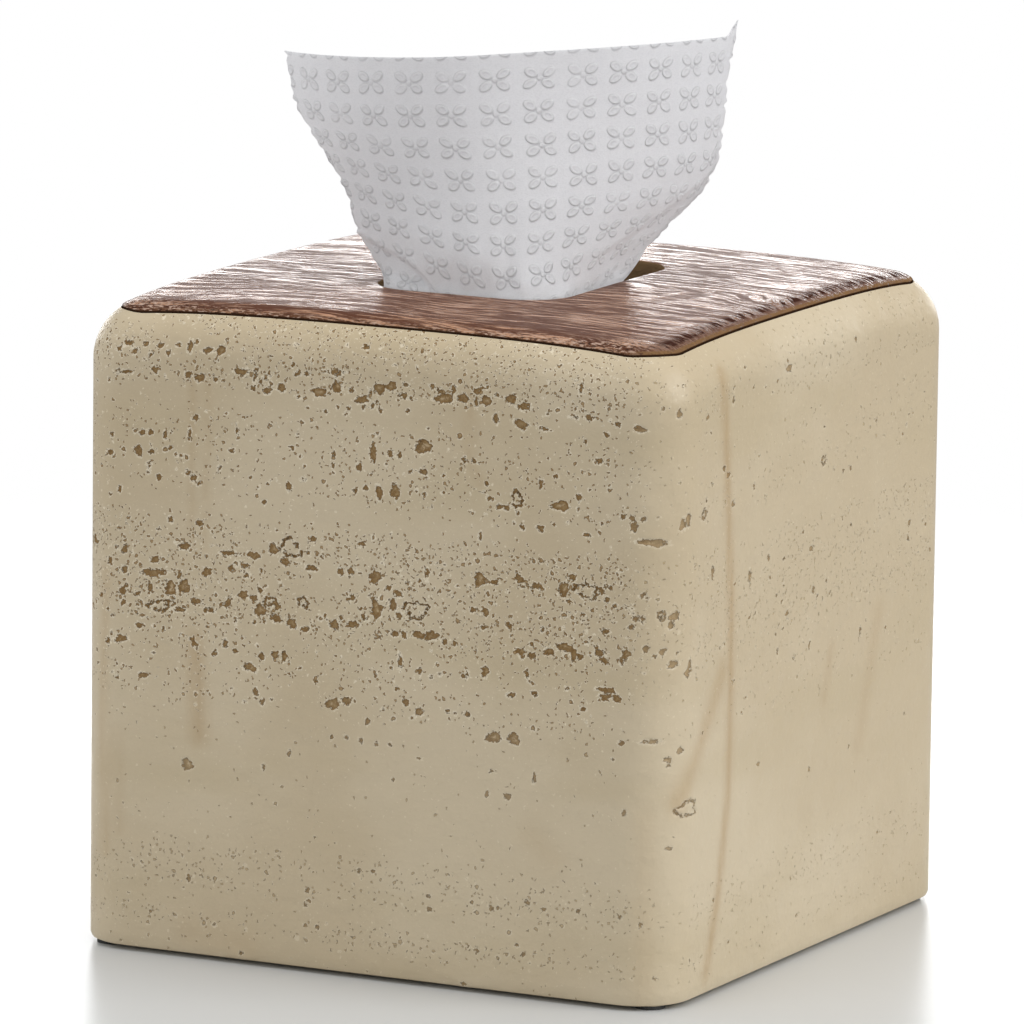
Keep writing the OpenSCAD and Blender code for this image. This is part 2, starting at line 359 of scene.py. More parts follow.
def top_height(x, y, proud):
    """Height of the crowned top and its rolled shoulder, moved out by proud."""
    reach = np.clip(shoulder_r - inset_at(x, y), 0, shoulder_r)
    return cover_h - shoulder_r + np.sqrt((shoulder_r + proud)**2 - reach**2) - crown_drop(x, y)


rim_inset = half_w - wood_w / 2 - wood_joint
rim_r = wood_r + wood_joint


def rim_inset_at(around):
    """How far in from the outline the stone ends at the wood's joint."""
    point, outward = outline_at(around)
    centre = point - corner_r * outward
    in_corner = np.abs(centre[:, 0]) > half_w - corner_r - 1e-6
    in_corner &= np.abs(centre[:, 1]) > half_w - corner_r - 1e-6
    facing = np.abs(outward)
    rim_centre = half_w - rim_inset - rim_r
    offset = half_w - corner_r - rim_centre
    half = corner_r - rim_inset
    along = facing.sum(1) * offset
    round_reach = -along + np.sqrt(np.maximum(along**2 - 2 * offset**2 + rim_r**2, 0))
    flat_reach = half / np.maximum(facing.max(1), 1e-6)
    low_side = flat_reach * facing.min(1) < -offset
    reach = np.where(low_side, flat_reach, round_reach)
    beyond = np.clip(np.abs(centre).min(1) - rim_centre, 0, rim_r)
    straight_inset = half_w - rim_centre - np.sqrt(rim_r**2 - beyond**2)
    return np.where(in_corner, corner_r - reach, straight_inset)


foot_l = foot_r * math.pi / 2
wall_l = cover_h - shoulder_r - pad_proud - foot_r
rim_angle = math.acos(1 - rim_inset / shoulder_r)
skin_l = foot_l + wall_l + shoulder_r * rim_angle


def skin_at(around, up):
    """Points and outward directions of the stone's skin, up from the foot to the wood's joint."""
    point, outward = outline_at(around)
    foot = np.clip(up / foot_l, 0, 1) * math.pi / 2
    climb = np.clip((up - foot_l) / wall_l, 0, 1)
    shoulder = np.clip((up - foot_l - wall_l) / (skin_l - foot_l - wall_l), 0, 1)
    angle = shoulder * np.arccos(1 - rim_inset_at(around) / shoulder_r)
    inset = foot_r * (1 - np.sin(foot)) + shoulder_r * (1 - np.cos(angle))
    inset = np.where(up < foot_l, foot_r * (1 - np.sin(foot)), inset)
    plan = point - inset[:, None] * outward
    drop = crown_drop(plan[:, 0], plan[:, 1])
    z_foot = pad_proud + foot_r * (1 - np.cos(foot))
    z_top = cover_h - shoulder_r * (1 - np.sin(angle)) - drop
    z = np.where(climb < 1, mix(pad_proud + foot_r, cover_h - shoulder_r - drop, climb), z_top)
    z = np.where(up < foot_l, z_foot, z)
    lean = np.where(up < foot_l, foot - math.pi / 2, angle)
    direction = np.concatenate([outward * np.cos(lean)[:, None], np.sin(lean)[:, None]], 1)
    return np.concatenate([plan, z[:, None]], 1), direction


# Stone finish

# Colours of the stone: its base, its darker levels, its grain and what water left on it
STONE_DARK, STONE_LIGHT = (0.602, 0.492, 0.326), (0.658, 0.551, 0.382)
STONE_LEVEL = (0.565, 0.460, 0.290)
STONE_GRAIN = (0.50, 0.395, 0.255)
STONE_STAIN = (0.44, 0.29, 0.135)

# Colours of a pit's edge, wall and floor, of the painted highlight round it and of the finest spots
PIT_EDGE = (0.23, 0.125, 0.040)
PIT_WALL = (0.36, 0.235, 0.105)
PIT_FLOOR = (0.62, 0.48, 0.30)
PIT_PAINTED_HIGHLIGHT = (0.96, 0.86, 0.67)
SPECK_MIDDLE = (0.52, 0.375, 0.205)
# The finest spots on the right side, paler as painted light from the key lamp on that side
SPECK_PAINTED_LIT_RIGHT = (0.46, 0.335, 0.165)

# Layers rich in pits: lowest and highest z, and the share of the finest spots that show there
PIT_LAYERS = [
    (116, 134, 0.68), (95, 116, 0.32), (67, 93, 0.86), (52, 70, 0.28), (13, 26, 0.34), (4, 13, 0.36),
]
# The finest spots: how many cells they have in a millimetre, the smallest and largest radius as a share
# of a cell, and how much a rich layer adds to their chance
SPECK_SIZES = [(1.2, 0.16, 0.36, 1.5), (0.66, 0.11, 0.28, 1.0), (0.42, 0.07, 0.22, 0.6)]
speck_warp_scale, speck_warp = 1.3, 1.3
# The x from and to which the front's looks give way to the right side's: fewer pits, and pit colour painted
# paler as the key lamp's light on that side
right_from, right_to = 55.0, 64.5


def stone_finish():
    f = Finish("cast_stone")
    blotch = f.noise(f.place, 0.02, 3, 0.5)
    grain = f.noise(f.place, 0.7, 4, 0.6)
    level = f.noise(f.vector(f.x * 0.4, f.y * 0.4, f.z * 1.4), 0.035, 3, 0.5)
    colour = f.colour_mix(STONE_DARK, STONE_LIGHT, f.step(blotch, 0.38, 0.62))
    colour = f.colour_mix(colour, STONE_LEVEL, f.step(level, 0.48, 0.70) * 0.5)
    colour = f.colour_mix(colour, STONE_GRAIN, f.step(grain, 0.55, 0.85) * 0.22)
    streak = f.noise(f.vector(f.x, f.y, f.z * 0.12), 0.35, 3, 0.6)
    stain = f.attribute("stain") * mix(0.9, 1.8, streak)
    colour = f.colour_mix(colour, STONE_STAIN, stain)

    crowd = f.noise(f.vector(f.x, f.y, f.z * 2.4), 0.055, 3, 0.6)
    density = 0.05
    for low, high, share in PIT_LAYERS:
        inside = f.step(f.z, low, low + 4.0) * f.step(f.z, high, high - 4.0)
        density = inside * share + density
    on_right = f.step(f.x, right_from, right_to)
    # Pit colour is weaker low down, and weaker on the right side, where it is painted paler as key light
    faint_low_and_painted_lit_right = mix(1.0, 0.45, on_right) * mix(0.5, 1.0, f.step(f.z, 44.0, 62.0))
    density = density * f.step(crowd, 0.30, 0.54) * mix(1.0, 0.3, on_right)
    speckled = f.warped(f.place, speck_warp_scale, 3, speck_warp)
    specks, speck_painted_highlight, speck_middle = 0.0, 0.0, 0.0
    for scale, small, large, more in SPECK_SIZES:
        distance, chance, size = f.cells(speckled, scale)
        shown = f.step(chance + density * more, 0.97, 1.03)
        edge = mix(small, large, size) * shown - distance
        specks = f.larger(specks, f.step(edge, 0.0, 0.06))
        speck_middle = f.larger(speck_middle, f.step(edge, 0.07, 0.15))
        speck_painted_highlight = f.larger(speck_painted_highlight, f.step(edge, -0.13, -0.03))

    ragged = f.noise(f.place, 2.2, 4, 0.65)
    pit = f.attribute("pit") + (ragged - 0.5) * 1.5
    inside = f.step(pit, -0.05, 0.06)
    rim = f.step(pit, 0.40, 0.16)
    crumbs = f.step(f.noise(f.place, 1.5, 4, 0.65), 0.47, 0.58)
    # Painted highlight: a pale ring round each pit and spot, as if its edge caught the light
    painted_rim_highlight = f.larger(f.step(pit, -0.36, -0.10), speck_painted_highlight * 0.85)
    painted_rim_highlight = painted_rim_highlight * (1 - f.larger(inside, specks))
    pit_colour = f.colour_mix(PIT_WALL, PIT_FLOOR, f.step(pit, 0.5, 1.1))
    pit_colour = f.colour_mix(pit_colour, PIT_EDGE, f.larger(rim * 0.75, crumbs * 0.75))
    speck_colour = f.colour_mix(PIT_EDGE, SPECK_MIDDLE, speck_middle * 0.5)
    speck_colour = f.colour_mix(speck_colour, SPECK_PAINTED_LIT_RIGHT, on_right * 0.8)
    colour = f.colour_mix(colour, PIT_PAINTED_HIGHLIGHT, painted_rim_highlight * faint_low_and_painted_lit_right * 0.7)
    colour = f.colour_mix(colour, speck_colour, specks * faint_low_and_painted_lit_right * 0.85)
    colour = f.colour_mix(colour, pit_colour, inside * mix(0.35, 0.92, faint_low_and_painted_lit_right))

    ripple = f.noise(f.vector(f.x, f.y, f.z * 1.5), 0.12, 3, 0.5)
    normal = f.bump(grain, 0.09)
    normal = f.bump(ripple, 0.5, below=normal)
    normal = f.bump(1 - f.larger(inside, specks), 0.4, below=normal)
    shine = 0.5 - f.larger(inside, specks) * 0.45
    return f.surface(colour, inside * 0.35 + 0.42, normal, Specular_IOR_Level=shine)


# Stone shell: a grid round the skin, cut finer where a pit shows

rng = random.Random(11)
cells_round = 288
cell_cuts = 4
foot_cells, wall_cells, shoulder_cells = 2, 68, 7
cells_up = foot_cells + wall_cells + shoulder_cells
fine_round = cells_round * cell_cuts


def fine_up():
    """Distance up the skin of each fine row."""
    foot = np.linspace(0, foot_l, foot_cells * cell_cuts + 1)[:-1]
    wall_rows = np.linspace(foot_l, foot_l + wall_l, wall_cells * cell_cuts + 1)[:-1]
    shoulder = np.linspace(foot_l + wall_l, skin_l, shoulder_cells * cell_cuts + 1)
    return np.concatenate([foot, wall_rows, shoulder])


# Pits seen on the front: place across from its middle, height, width, height of the pit
FRONT_PITS = [
    (-57, 127.5, 1.2, 1.0), (-55, 128.6, 1.4, 1.1), (-53.2, 127, 1.0, 1.3), (-51, 128.4, 1.2, 1.0),
    (-49.6, 126.2, 1.0, 0.8), (-47.5, 128, 1.3, 1.2), (-45.6, 126.6, 1.0, 1.2), (-43.4, 128.2, 1.1, 0.9),
    (-40.8, 127.8, 1.0, 2.5), (-36.7, 127.3, 2.2, 1.0), (-33.7, 127.4, 2.0, 1.8), (-48.6, 123, 1.5, 1.4),
    (-55.5, 122.7, 2.5, 0.8), (-41, 122.1, 1.5, 1.4), (-38.3, 121.7, 2.3, 1.6), (-34.7, 121.4, 1.0, 1.0),
    (-29, 123.3, 3.0, 1.2), (-25.7, 122.5, 0.8, 1.6), (-23, 119.8, 1.8, 1.5), (-19.8, 120.6, 2.0, 1.5),
    (-26.1, 120.1, 1.2, 1.1), (-11.3, 120.4, 2.8, 2.0), (-7.3, 121.8, 1.8, 2.6), (-15.9, 124, 1.0, 0.9),
    (-14, 123.9, 1.2, 1.0), (-7.7, 124.8, 3.5, 0.8), (-4, 121.4, 1.4, 0.7), (-1.5, 119.6, 3.0, 1.3),
    (2.3, 122.2, 2.2, 2.4), (5, 122.9, 2.2, 2.0), (7.8, 121.3, 1.4, 1.2), (-1.5, 130.4, 1.4, 1.2),
    (16.8, 121.5, 3.8, 2.0), (21, 122, 2.2, 2.0), (24, 121.4, 0.9, 1.8), (26.2, 122, 2.0, 2.2),
    (28.5, 123.4, 0.9, 0.9), (31.6, 122.9, 2.6, 1.5), (34.6, 121.8, 2.8, 1.4), (18.9, 123.6, 0.9, 1.6),
    (24.1, 123.7, 1.8, 1.2), (47, 127.3, 0.8, 1.6), (49, 121.6, 2.0, 1.0), (45.8, 121.2, 1.6, 0.6),
    (55.2, 121.3, 1.4, 1.0), (59.9, 121.2, 2.2, 1.4), (52.8, 118.8, 1.2, 1.0), (28.3, 118.6, 1.4, 1.8),
    (33.9, 118.1, 3.0, 1.8), (39, 117.8, 2.2, 0.7), (-39.3, 113.3, 1.5, 1.0), (-40.6, 109.9, 0.8, 2.0),
    (-49.5, 110, 1.2, 1.2), (-51.5, 110, 1.4, 1.2), (-58.6, 109.6, 1.0, 1.0), (-46.2, 109.4, 1.0, 1.5),
    (-59, 105.8, 1.6, 1.2), (-52.2, 106.2, 1.6, 2.2), (-49.2, 106, 1.1, 1.1), (-45, 106.9, 0.9, 0.8),
    (-30.9, 107, 1.3, 0.9), (-29.7, 111, 0.7, 1.3), (-33.7, 103.2, 0.8, 1.2), (-47.5, 100.7, 1.3, 1.1),
    (-39.6, 100.8, 1.4, 1.6), (-56.5, 98.2, 0.9, 1.4), (-17.9, 100.6, 1.2, 1.8), (-23.5, 96.9, 1.0, 0.9),
    (-44.8, 92, 1.1, 1.4), (-38.1, 91.6, 1.6, 1.2), (-8, 105.7, 0.9, 0.9), (-2.1, 105.9, 1.6, 1.4),
    (1, 109, 1.6, 3.2), (4.8, 109, 1.2, 1.1), (7, 109.1, 1.0, 1.2), (12.3, 111.3, 3.8, 2.6),
    (12.4, 106.2, 1.6, 1.2), (21.4, 109.5, 1.0, 1.3), (23.6, 109.5, 0.9, 0.9), (51.3, 113.2, 1.6, 1.2),
    (-2.9, 101, 1.3, 1.0), (-0.5, 101.8, 1.2, 1.1), (2.5, 101.2, 1.5, 2.8), (6, 101.7, 1.8, 3.4),
    (12.7, 101.8, 0.8, 0.8), (38.5, 106.6, 1.1, 1.7), (42.9, 102.7, 3.6, 2.2), (46.9, 105, 1.0, 1.6),
    (27.2, 102.3, 1.6, 0.9), (29.4, 100.8, 1.3, 1.2), (31, 100.8, 1.3, 1.2), (56.6, 102.8, 1.1, 1.0),
    (58.6, 102.8, 1.1, 1.0), (60.8, 102.8, 1.1, 1.0), (59, 101, 1.6, 1.8), (63, 98, 5.5, 1.6),
    (71, 102, 1.4, 2.4), (25.2, 94.4, 0.8, 1.4), (34.6, 97.2, 1.2, 1.0), (38.6, 97.5, 1.6, 1.2),
    (48.8, 97.7, 1.4, 0.8), (-41.5, 86.6, 2.4, 1.4), (-48.3, 83.5, 1.8, 1.6), (-58.9, 82.6, 1.2, 1.1),
    (-55.3, 81.3, 1.6, 1.4), (-48.5, 80.8, 5.0, 1.6), (-42.7, 80.5, 0.9, 1.6), (-36.4, 81.6, 1.8, 2.0),
    (-30.9, 82.8, 1.0, 1.4), (-27.7, 83.5, 2.0, 0.9), (-25.7, 85.8, 2.6, 1.6), (-31.6, 85.8, 3.0, 1.0),
    (-21.3, 87.5, 1.8, 2.6), (-18.6, 85, 2.0, 1.4), (-13.3, 87.4, 0.9, 0.9), (-12.6, 84.3, 2.4, 1.3),
    (-6, 84.2, 1.2, 1.8), (-3.7, 84.4, 1.2, 1.6), (1.8, 84, 2.6, 2.0), (-1.3, 90.3, 1.4, 1.0),
    (-44.8, 77.7, 2.6, 2.8), (-41.6, 78.2, 3.0, 2.4), (-49.4, 77.6, 1.2, 2.2), (-42.5, 73.4, 2.0, 1.0),
    (-55.8, 76.8, 1.8, 1.5), (-35.4, 73.7, 1.4, 1.0), (-38.9, 75.4, 2.0, 1.4), (-28.1, 77.5, 2.2, 1.6),
    (-25.6, 77, 1.6, 1.4), (-24.2, 74.6, 3.0, 2.0), (-20.6, 73.2, 2.4, 1.6), (-17, 72.5, 2.4, 1.8),
    (-13.8, 71.6, 2.0, 1.0), (-7.3, 73.2, 2.2, 1.6), (-3.2, 73.6, 2.2, 1.4), (2, 77.2, 2.0, 3.8),
    (5.8, 78.4, 1.8, 2.0), (6.3, 72.6, 1.6, 1.4), (7, 80.8, 1.8, 1.2), (7.2, 76.4, 1.4, 1.3),
    (8.4, 72.7, 1.2, 1.6), (11.6, 72.9, 2.4, 1.6), (14.5, 73, 3.0, 2.0), (13.4, 85.8, 1.1, 1.6),
    (25.2, 85.6, 2.8, 2.4), (28.6, 85.4, 1.8, 1.0), (34, 86.7, 1.9, 1.8), (38, 85.7, 2.4, 1.3),
    (43.8, 85.8, 2.2, 2.8), (45.7, 88.5, 1.6, 1.2), (52.2, 86.7, 1.3, 1.2), (53.4, 85.2, 1.3, 1.1),
    (26.6, 79.1, 1.3, 1.7), (23.8, 79.2, 1.2, 1.1), (31.8, 77, 1.4, 1.2), (26.1, 75.9, 1.0, 0.9),
    (17.5, 72.1, 1.3, 1.1), (19.8, 72, 1.0, 1.0), (34.4, 71.9, 2.0, 1.5), (37.1, 71.5, 1.6, 1.4),
    (40.8, 72.6, 2.0, 1.6), (44.2, 74, 3.0, 1.8), (46.2, 72.9, 1.4, 2.6), (47.6, 72.6, 1.4, 1.2),
    (51.8, 74, 2.4, 1.3), (53, 72.5, 1.8, 1.3), (57.7, 74.6, 1.8, 2.0), (53.1, 78.6, 1.6, 0.9),
    (59.6, 82.3, 1.2, 1.1), (67.6, 82.6, 2.2, 1.8), (66.8, 80.8, 1.6, 1.3), (67.5, 72.7, 2.6, 1.4),
    (72, 72, 1.0, 2.2), (-52, 69.6, 1.4, 1.3), (-59.4, 66, 1.4, 1.2), (-56.2, 66.7, 3.0, 1.4),
    (-39.4, 66.9, 0.9, 1.6), (-32.1, 67.1, 1.1, 1.8), (-29.8, 65.7, 1.0, 1.0), (-34.6, 64.8, 1.3, 1.1),
    (-23.8, 65.1, 1.6, 1.3), (-20.7, 65.8, 1.8, 1.4), (-18.6, 65.6, 1.4, 2.0), (-26.4, 62.6, 3.0, 1.6),
    (-50.9, 59.2, 1.8, 1.3), (-25.1, 57.6, 1.2, 1.8), (-23.5, 55.8, 1.2, 1.2), (-7.6, 56.8, 2.8, 2.4),
    (-4.4, 57.8, 2.0, 1.8), (0.4, 54, 0.9, 1.3), (26.6, 66.9, 1.8, 2.2), (12, 65.7, 0.9, 1.4),
    (7.6, 67, 0.8, 2.8), (16.5, 65.3, 0.8, 0.8), (22.7, 66, 0.8, 1.3), (32.6, 62.8, 1.8, 1.0),
    (37.7, 63.7, 1.4, 1.2), (36, 67.4, 0.7, 1.8), (53.6, 66.6, 3.4, 1.2), (53.2, 65.1, 2.4, 1.2),
    (55.8, 65.3, 1.6, 1.8), (48.5, 62, 1.2, 1.1), (12, 57.2, 1.5, 1.8), (9, 58.8, 1.6, 1.3),
    (22.8, 57.8, 1.2, 1.1), (18.4, 57.9, 0.9, 0.9), (28.7, 53.7, 3.2, 2.2), (33.2, 53.9, 2.8, 2.2),
    (57, 56.2, 1.2, 1.1), (63, 56.9, 3.4, 0.9), (69.5, 54.6, 1.6, 1.4), (-40.6, 41.2, 2.6, 2.2),
    (-23.1, 42.4, 0.7, 1.2), (-17.3, 45.7, 0.7, 1.2), (37.9, 46.5, 0.7, 1.6), (32, 41.9, 1.5, 1.4),
    (57.8, 41.8, 1.1, 1.1), (27.4, 41.9, 0.7, 1.3), (-7.6, 50, 0.8, 0.8), (-4.4, 50.2, 0.9, 0.8),
    (-1, 50, 0.8, 1.2), (2.4, 49.6, 0.8, 1.0), (5.6, 49.8, 0.8, 0.8), (-40.2, 17.5, 0.9, 1.3),
    (2, 23.3, 1.0, 0.9), (28.6, 18.6, 1.2, 1.1), (36.7, 20.6, 1.2, 1.0), (14.7, 16.8, 1.1, 1.0),
    (40.4, 19.7, 0.9, 0.8), (48, 20.2, 0.9, 0.9), (22.6, 2.2, 1.1, 0.9), (-28, 3, 0.9, 0.8),
]
# Pits with a raised middle, which show as rings
FRONT_RINGS = [
    (-17.4, 88, 5.0, 3.8), (-47.3, 74, 4.8, 2.8), (-14.4, 77.1, 2.6, 2.4), (11, 77.9, 5.0, 4.2),
    (48.9, 86.2, 5.0, 3.6), (33.3, 102.8, 2.8, 3.4), (64.8, 83, 2.2, 2.0), (-22, 76.6, 3.0, 2.4),
]
ring_groove = 0.55
# Reach of a pit's window on the grid beyond its half size, how deep pits are, and the value far from any
pit_reach, pit_margin = 1.5, 0.8
pit_depth_least, pit_depth_share, pit_depth_most = 0.22, 0.3, 0.75
no_pit = -2.0
# Cells are cut finer from this far outside a pit's edge
refine_from = -0.3
# How ragged a pit's edge is: waves round it, and how far each moves the edge as a share of its size
PIT_WAVES = [(2, 0.14), (3, 0.12), (5, 0.10), (7, 0.09), (11, 0.06)]

# Pits seen on the right face, fainter: place along from its middle, height, width, height of the pit
RIGHT_PITS = [
    (-60.7, 101.3, 1.4, 2.6), (-44, 109, 1.4, 1.2), (-42, 107.3, 1.6, 1.2), (-39.6, 101, 1.6, 1.2),
    (-30, 102.8, 0.8, 1.4), (-40.2, 122.3, 0.8, 1.6), (-52, 121.2, 1.2, 1.0), (-62, 124.3, 1.2, 1.8),
    (-48.6, 88.7, 1.2, 2.8), (-31.4, 84.7, 1.0, 2.6), (-22.7, 87, 1.0, 1.4), (-2.4, 85.6, 1.6, 1.2),
    (-14.5, 124.5, 3.0, 1.3), (12.5, 99.5, 1.0, 0.9), (16, 99.5, 1.0, 0.9), (45, 81, 1.2, 1.0),
    (-1, 77, 1.0, 1.3), (-13.5, 74, 1.4, 1.0), (-58.8, 70.4, 1.4, 2.2), (-2.5, 65.6, 1.0, 1.7),
    (22, 64.6, 0.8, 1.6), (-17.8, 66.6, 0.8, 1.6), (17.5, 41, 1.0, 0.9), (-26, 45, 1.3, 1.0),
    (-63.5, 53, 1.6, 1.2), (-63, 34.5, 1.6, 0.7),
]
RIGHT_RINGS = [(-58, 42, 6.0, 4.0), (3, 103, 2.4, 2.2), (-53, 101.6, 1.8, 2.6)]

# Scattered pits: the layers that they crowd into, as middle z, half height, pits on a side and largest width
PIT_BANDS = [
    (123, 5, 60, 2.0), (105, 7, 36, 1.7), (85, 4, 46, 2.3), (75, 4.5, 70, 2.4), (66, 3.5, 26, 1.6),
    (57, 4, 16, 1.4), (44, 5, 8, 1.2), (20, 4, 16, 1.1), (9, 3, 14, 1.0),
]
# For each side, the share of the scattered pits that it gets and the share of their largest width
SIDES = [("front", 0.62, 0.6), ("right", 0.2, 0.5), ("back", 1.0, 1.0), ("left", 1.0, 1.0)]


def scattered_pits(side_start, share, size_share):
    """Random pits of one side, in clumps along the layers."""
    pits = []
    for middle, spread, count, widest in PIT_BANDS:
        clumps = [(rng.uniform(-62, 62), rng.gauss(middle, spread * 0.5)) for _ in range(7)]
        for _ in range(round(count * share)):
            if rng.random() < 0.65:
                clump = rng.choice(clumps)
                across, z = rng.gauss(clump[0], 6), rng.gauss(clump[1], spread * 0.3)
            else:
                across, z = rng.uniform(-65, 65), rng.gauss(middle, spread * 0.6)
            width = mix(0.7, max(widest * size_share, 0.9), rng.random()**2.2)
            height = width * rng.uniform(0.6, 1.2)
            if 3 < z < 130:
                pits.append((side_start + across, z, width, height, False))
    return pits


def all_pits():
    """Every pit as place around the cover, height, width, height of the pit, and whether it is a ring."""
    pits = []
    seen = [
        ("front", FRONT_PITS, False), ("front", FRONT_RINGS, True),
        ("right", RIGHT_PITS, False), ("right", RIGHT_RINGS, True),
    ]
    for side, group, ring in seen:
        pits += [(SIDE_MIDDLES[side] + across, z, width, height, ring) for across, z, width, height in group]
    for side, share, size_share in SIDES:
        pits += scattered_pits(SIDE_MIDDLES[side], share, size_share)
    return pits


# Rusty streaks that water left: side, points along its line as place across and z, width and strength
STAINS = [
    ("right", [(-45, 126), (-42.5, 105), (-40, 80), (-39.5, 60), (-40, 40), (-44, 20), (-49, 5)], 1.6, 0.42),
    ("right", [(-43, 66), (-55, 50), (-61, 42)], 2.6, 0.30),
    ("right", [(31, 66), (22, 40)], 2.6, 0.16),
    ("right", [(8, 62), (5, 52)], 1.6, 0.18),
    ("front", [(-40, 121), (-40, 85)], 0.9, 0.16),
    ("front", [(-36.5, 119), (-37, 85)], 0.9, 0.14),
    ("front", [(-39, 66), (-38.5, 58), (-38, 46)], 1.9, 0.34),
    ("front", [(-60, 78), (-61, 48), (-60, 20)], 1.5, 0.20),
    ("front", [(-57, 45), (-56.5, 25)], 1.3, 0.14),
    ("front", [(22.5, 122), (22.5, 108), (25, 104)], 1.2, 0.15),
    ("front", [(62, 40), (62, 2)], 2.4, 0.10),
    ("front", [(-40, 6), (-28, 4)], 4.0, 0.14),
    ("front", [(37, 34), (43, 29)], 3.0, 0.10),
    ("back", [(20, 118), (22, 80), (19, 30)], 1.8, 0.30),
    ("left", [(-35, 120), (-33, 70), (-37, 15)], 1.8, 0.30),
    ("left", [(28, 70), (22, 40)], 2.4, 0.20),
]


def stain_at(around, z):
    total = np.zeros_like(around)
    for side, line, width, strength in STAINS:
        place = (around - SIDE_MIDDLES[side] + perimeter / 2) % perimeter - perimeter / 2
        for (x0, z0), (x1, z1) in zip(line, line[1:]):
            dx, dz = x1 - x0, z1 - z0
            share = np.clip(((place - x0) * dx + (z - z0) * dz) / (dx**2 + dz**2), 0, 1)
            away = np.hypot(place - x0 - share * dx, z - z0 - share * dz)
            total = np.maximum(total, strength * np.exp(-(away / width)**2))
    return total


def pit_grids():
    """For each fine grid point: how far inside a pit's edge it is, and how deep the stone is sunk there."""
    rows = fine_up()
    edge = np.full((len(rows), fine_round), no_pit)
    sink = np.zeros_like(edge)
    pitch = perimeter / fine_round
    for around, z, width, height, ring in all_pits():
        up, half_across, half_up = z - pad_proud, width / 2, height / 2
        smaller = min(half_across, half_up)
        reach = pit_reach * max(half_across, half_up) + pit_margin
        columns = np.arange(math.floor((around - reach) / pitch), math.ceil((around + reach) / pitch) + 1)
        lines = np.nonzero(np.abs(rows - up) < reach)[0]
        if len(lines) == 0:
            continue
        dx = columns[None, :] * pitch - around
        dy = rows[lines][:, None] - up
        angle = np.arctan2(dy / half_up, dx / half_across)
        wobble = 1.0
        for waves, share in PIT_WAVES:
            wobble = wobble + share * np.sin(waves * angle + rng.uniform(0, 2 * math.pi))
        inside = (wobble - np.hypot(dx / half_across, dy / half_up)) * smaller
        if ring:
            inside = ring_groove / 2 - np.abs(inside - ring_groove / 2)
        window = np.ix_(lines, columns % fine_round)
        edge[window] = np.maximum(edge[window], inside)
        deepest = min(pit_depth_most, pit_depth_share * smaller + pit_depth_least)
        depth = smooth_step(-0.1, 0.4, inside) * deepest
        sink[window] = np.maximum(sink[window], depth)
    return rows, edge, sink


def ring_points(half_x, half_y, r, z, corner_steps, side_steps):
    """A rounded rectangle's outline as points at one height, counter-clockwise."""
    points = []
    for corner in range(4):
        turn = corner * math.pi / 2
        cos, sin = round(math.cos(turn)), round(math.sin(turn))
        centre = ((half_x - r) * (cos - sin), (half_y - r) * (sin + cos))
        following = ((half_x - r) * (-sin - cos), (half_y - r) * (cos - sin))
        for k in range(corner_steps + 1):
            angle = turn + math.pi / 2 * k / corner_steps
            points.append((centre[0] + r * math.cos(angle), centre[1] + r * math.sin(angle), z))
        start = points[-1]
        end_angle = turn + math.pi / 2
        finish = (following[0] + r * math.cos(end_angle), following[1] + r * math.sin(end_angle))
        for k in range(1, side_steps):
            share = k / side_steps
            points.append((mix(start[0], finish[0], share), mix(start[1], finish[1], share), z))
    return points


class Builder:
    """Collects points and faces, and joins rings of points."""

    def __init__(self, points=(), faces=()):
        self.points = [tuple(p) for p in points]
        self.faces = list(faces)

    def ring(self, points):
        first = len(self.points)
        self.points.extend(tuple(p) for p in points)
        return list(range(first, len(self.points)))

    def bridge(self, lower, upper):
        n = len(lower)
        for k in range(n):
            a, b = lower[k], lower[(k + 1) % n]
            self.faces.append((a, b, upper[(k + 1) % n], upper[k]))

    def flat(self, loops, faces_up):
        """Fills a level face that has one outer loop and any holes."""
        order = [index for loop in loops for index in loop]
        shape = [[Vector(self.points[index]) for index in loop] for loop in loops]
        for triangle in geometry.tessellate_polygon(shape):
            a, b, c = (order[k] for k in triangle)
            pa, pb, pc = (Vector(self.points[k]) for k in (a, b, c))
            rises = (pb - pa).cross(pc - pa).z > 0
            self.faces.append((a, b, c) if rises == faces_up else (a, c, b))


def refined_cells(edge):
    """Which cells lie on or close to a pit. The top row stays whole, as it meets the wood's joint."""
    refined = np.zeros((cells_up, cells_round), bool)
    for j in range(cells_up - 1):
        block = edge[j * cell_cuts:(j + 1) * cell_cuts + 1]
        for i in range(cells_round):
            columns = np.arange(i * cell_cuts, (i + 1) * cell_cuts + 1) % fine_round
            refined[j, i] = block[:, columns].max() > refine_from
    return refined


def skin_faces(refined):
    """The number of each fine grid point that the skin uses, and its faces, cut up in refined cells."""
    used = {}

    def point(j, i):
        return used.setdefault((j, i % fine_round), len(used))

    faces = []
    n = cell_cuts
    for j in range(cells_up):
        for i in range(cells_round):
            j0, i0 = j * n, i * n
            if refined[j, i]:
                for b in range(n):
                    for a in range(n):
                        faces.append((
                            point(j0 + b, i0 + a), point(j0 + b, i0 + a + 1),
                            point(j0 + b + 1, i0 + a + 1), point(j0 + b + 1, i0 + a),
                        ))
                continue
            below = j > 0 and refined[j - 1, i]
            above = j < cells_up - 1 and refined[j + 1, i]
            right = refined[j, (i + 1) % cells_round]
            left = refined[j, i - 1]
            loop = [point(j0, i0 + a) for a in (range(n) if below else [0])]
            loop += [point(j0 + b, i0 + n) for b in (range(n) if right else [0])]
            loop += [point(j0 + n, i0 + n - a) for a in (range(n) if above else [0])]
            loop += [point(j0 + n - b, i0) for b in (range(n) if left else [0])]
            if len(loop) == 4:
                faces.append(tuple(loop))
            else:
                middle = point(j0 + n // 2, i0 + n // 2)
                for k in range(len(loop)):
                    faces.append((loop[k], loop[(k + 1) % len(loop)], middle))
    return used, faces


# Steps round the pocket of one base pad, and round a corner and along a side of the deck and the cavity
pocket_steps = 24
deck_steps, cavity_steps = (12, 4), (8, 6)


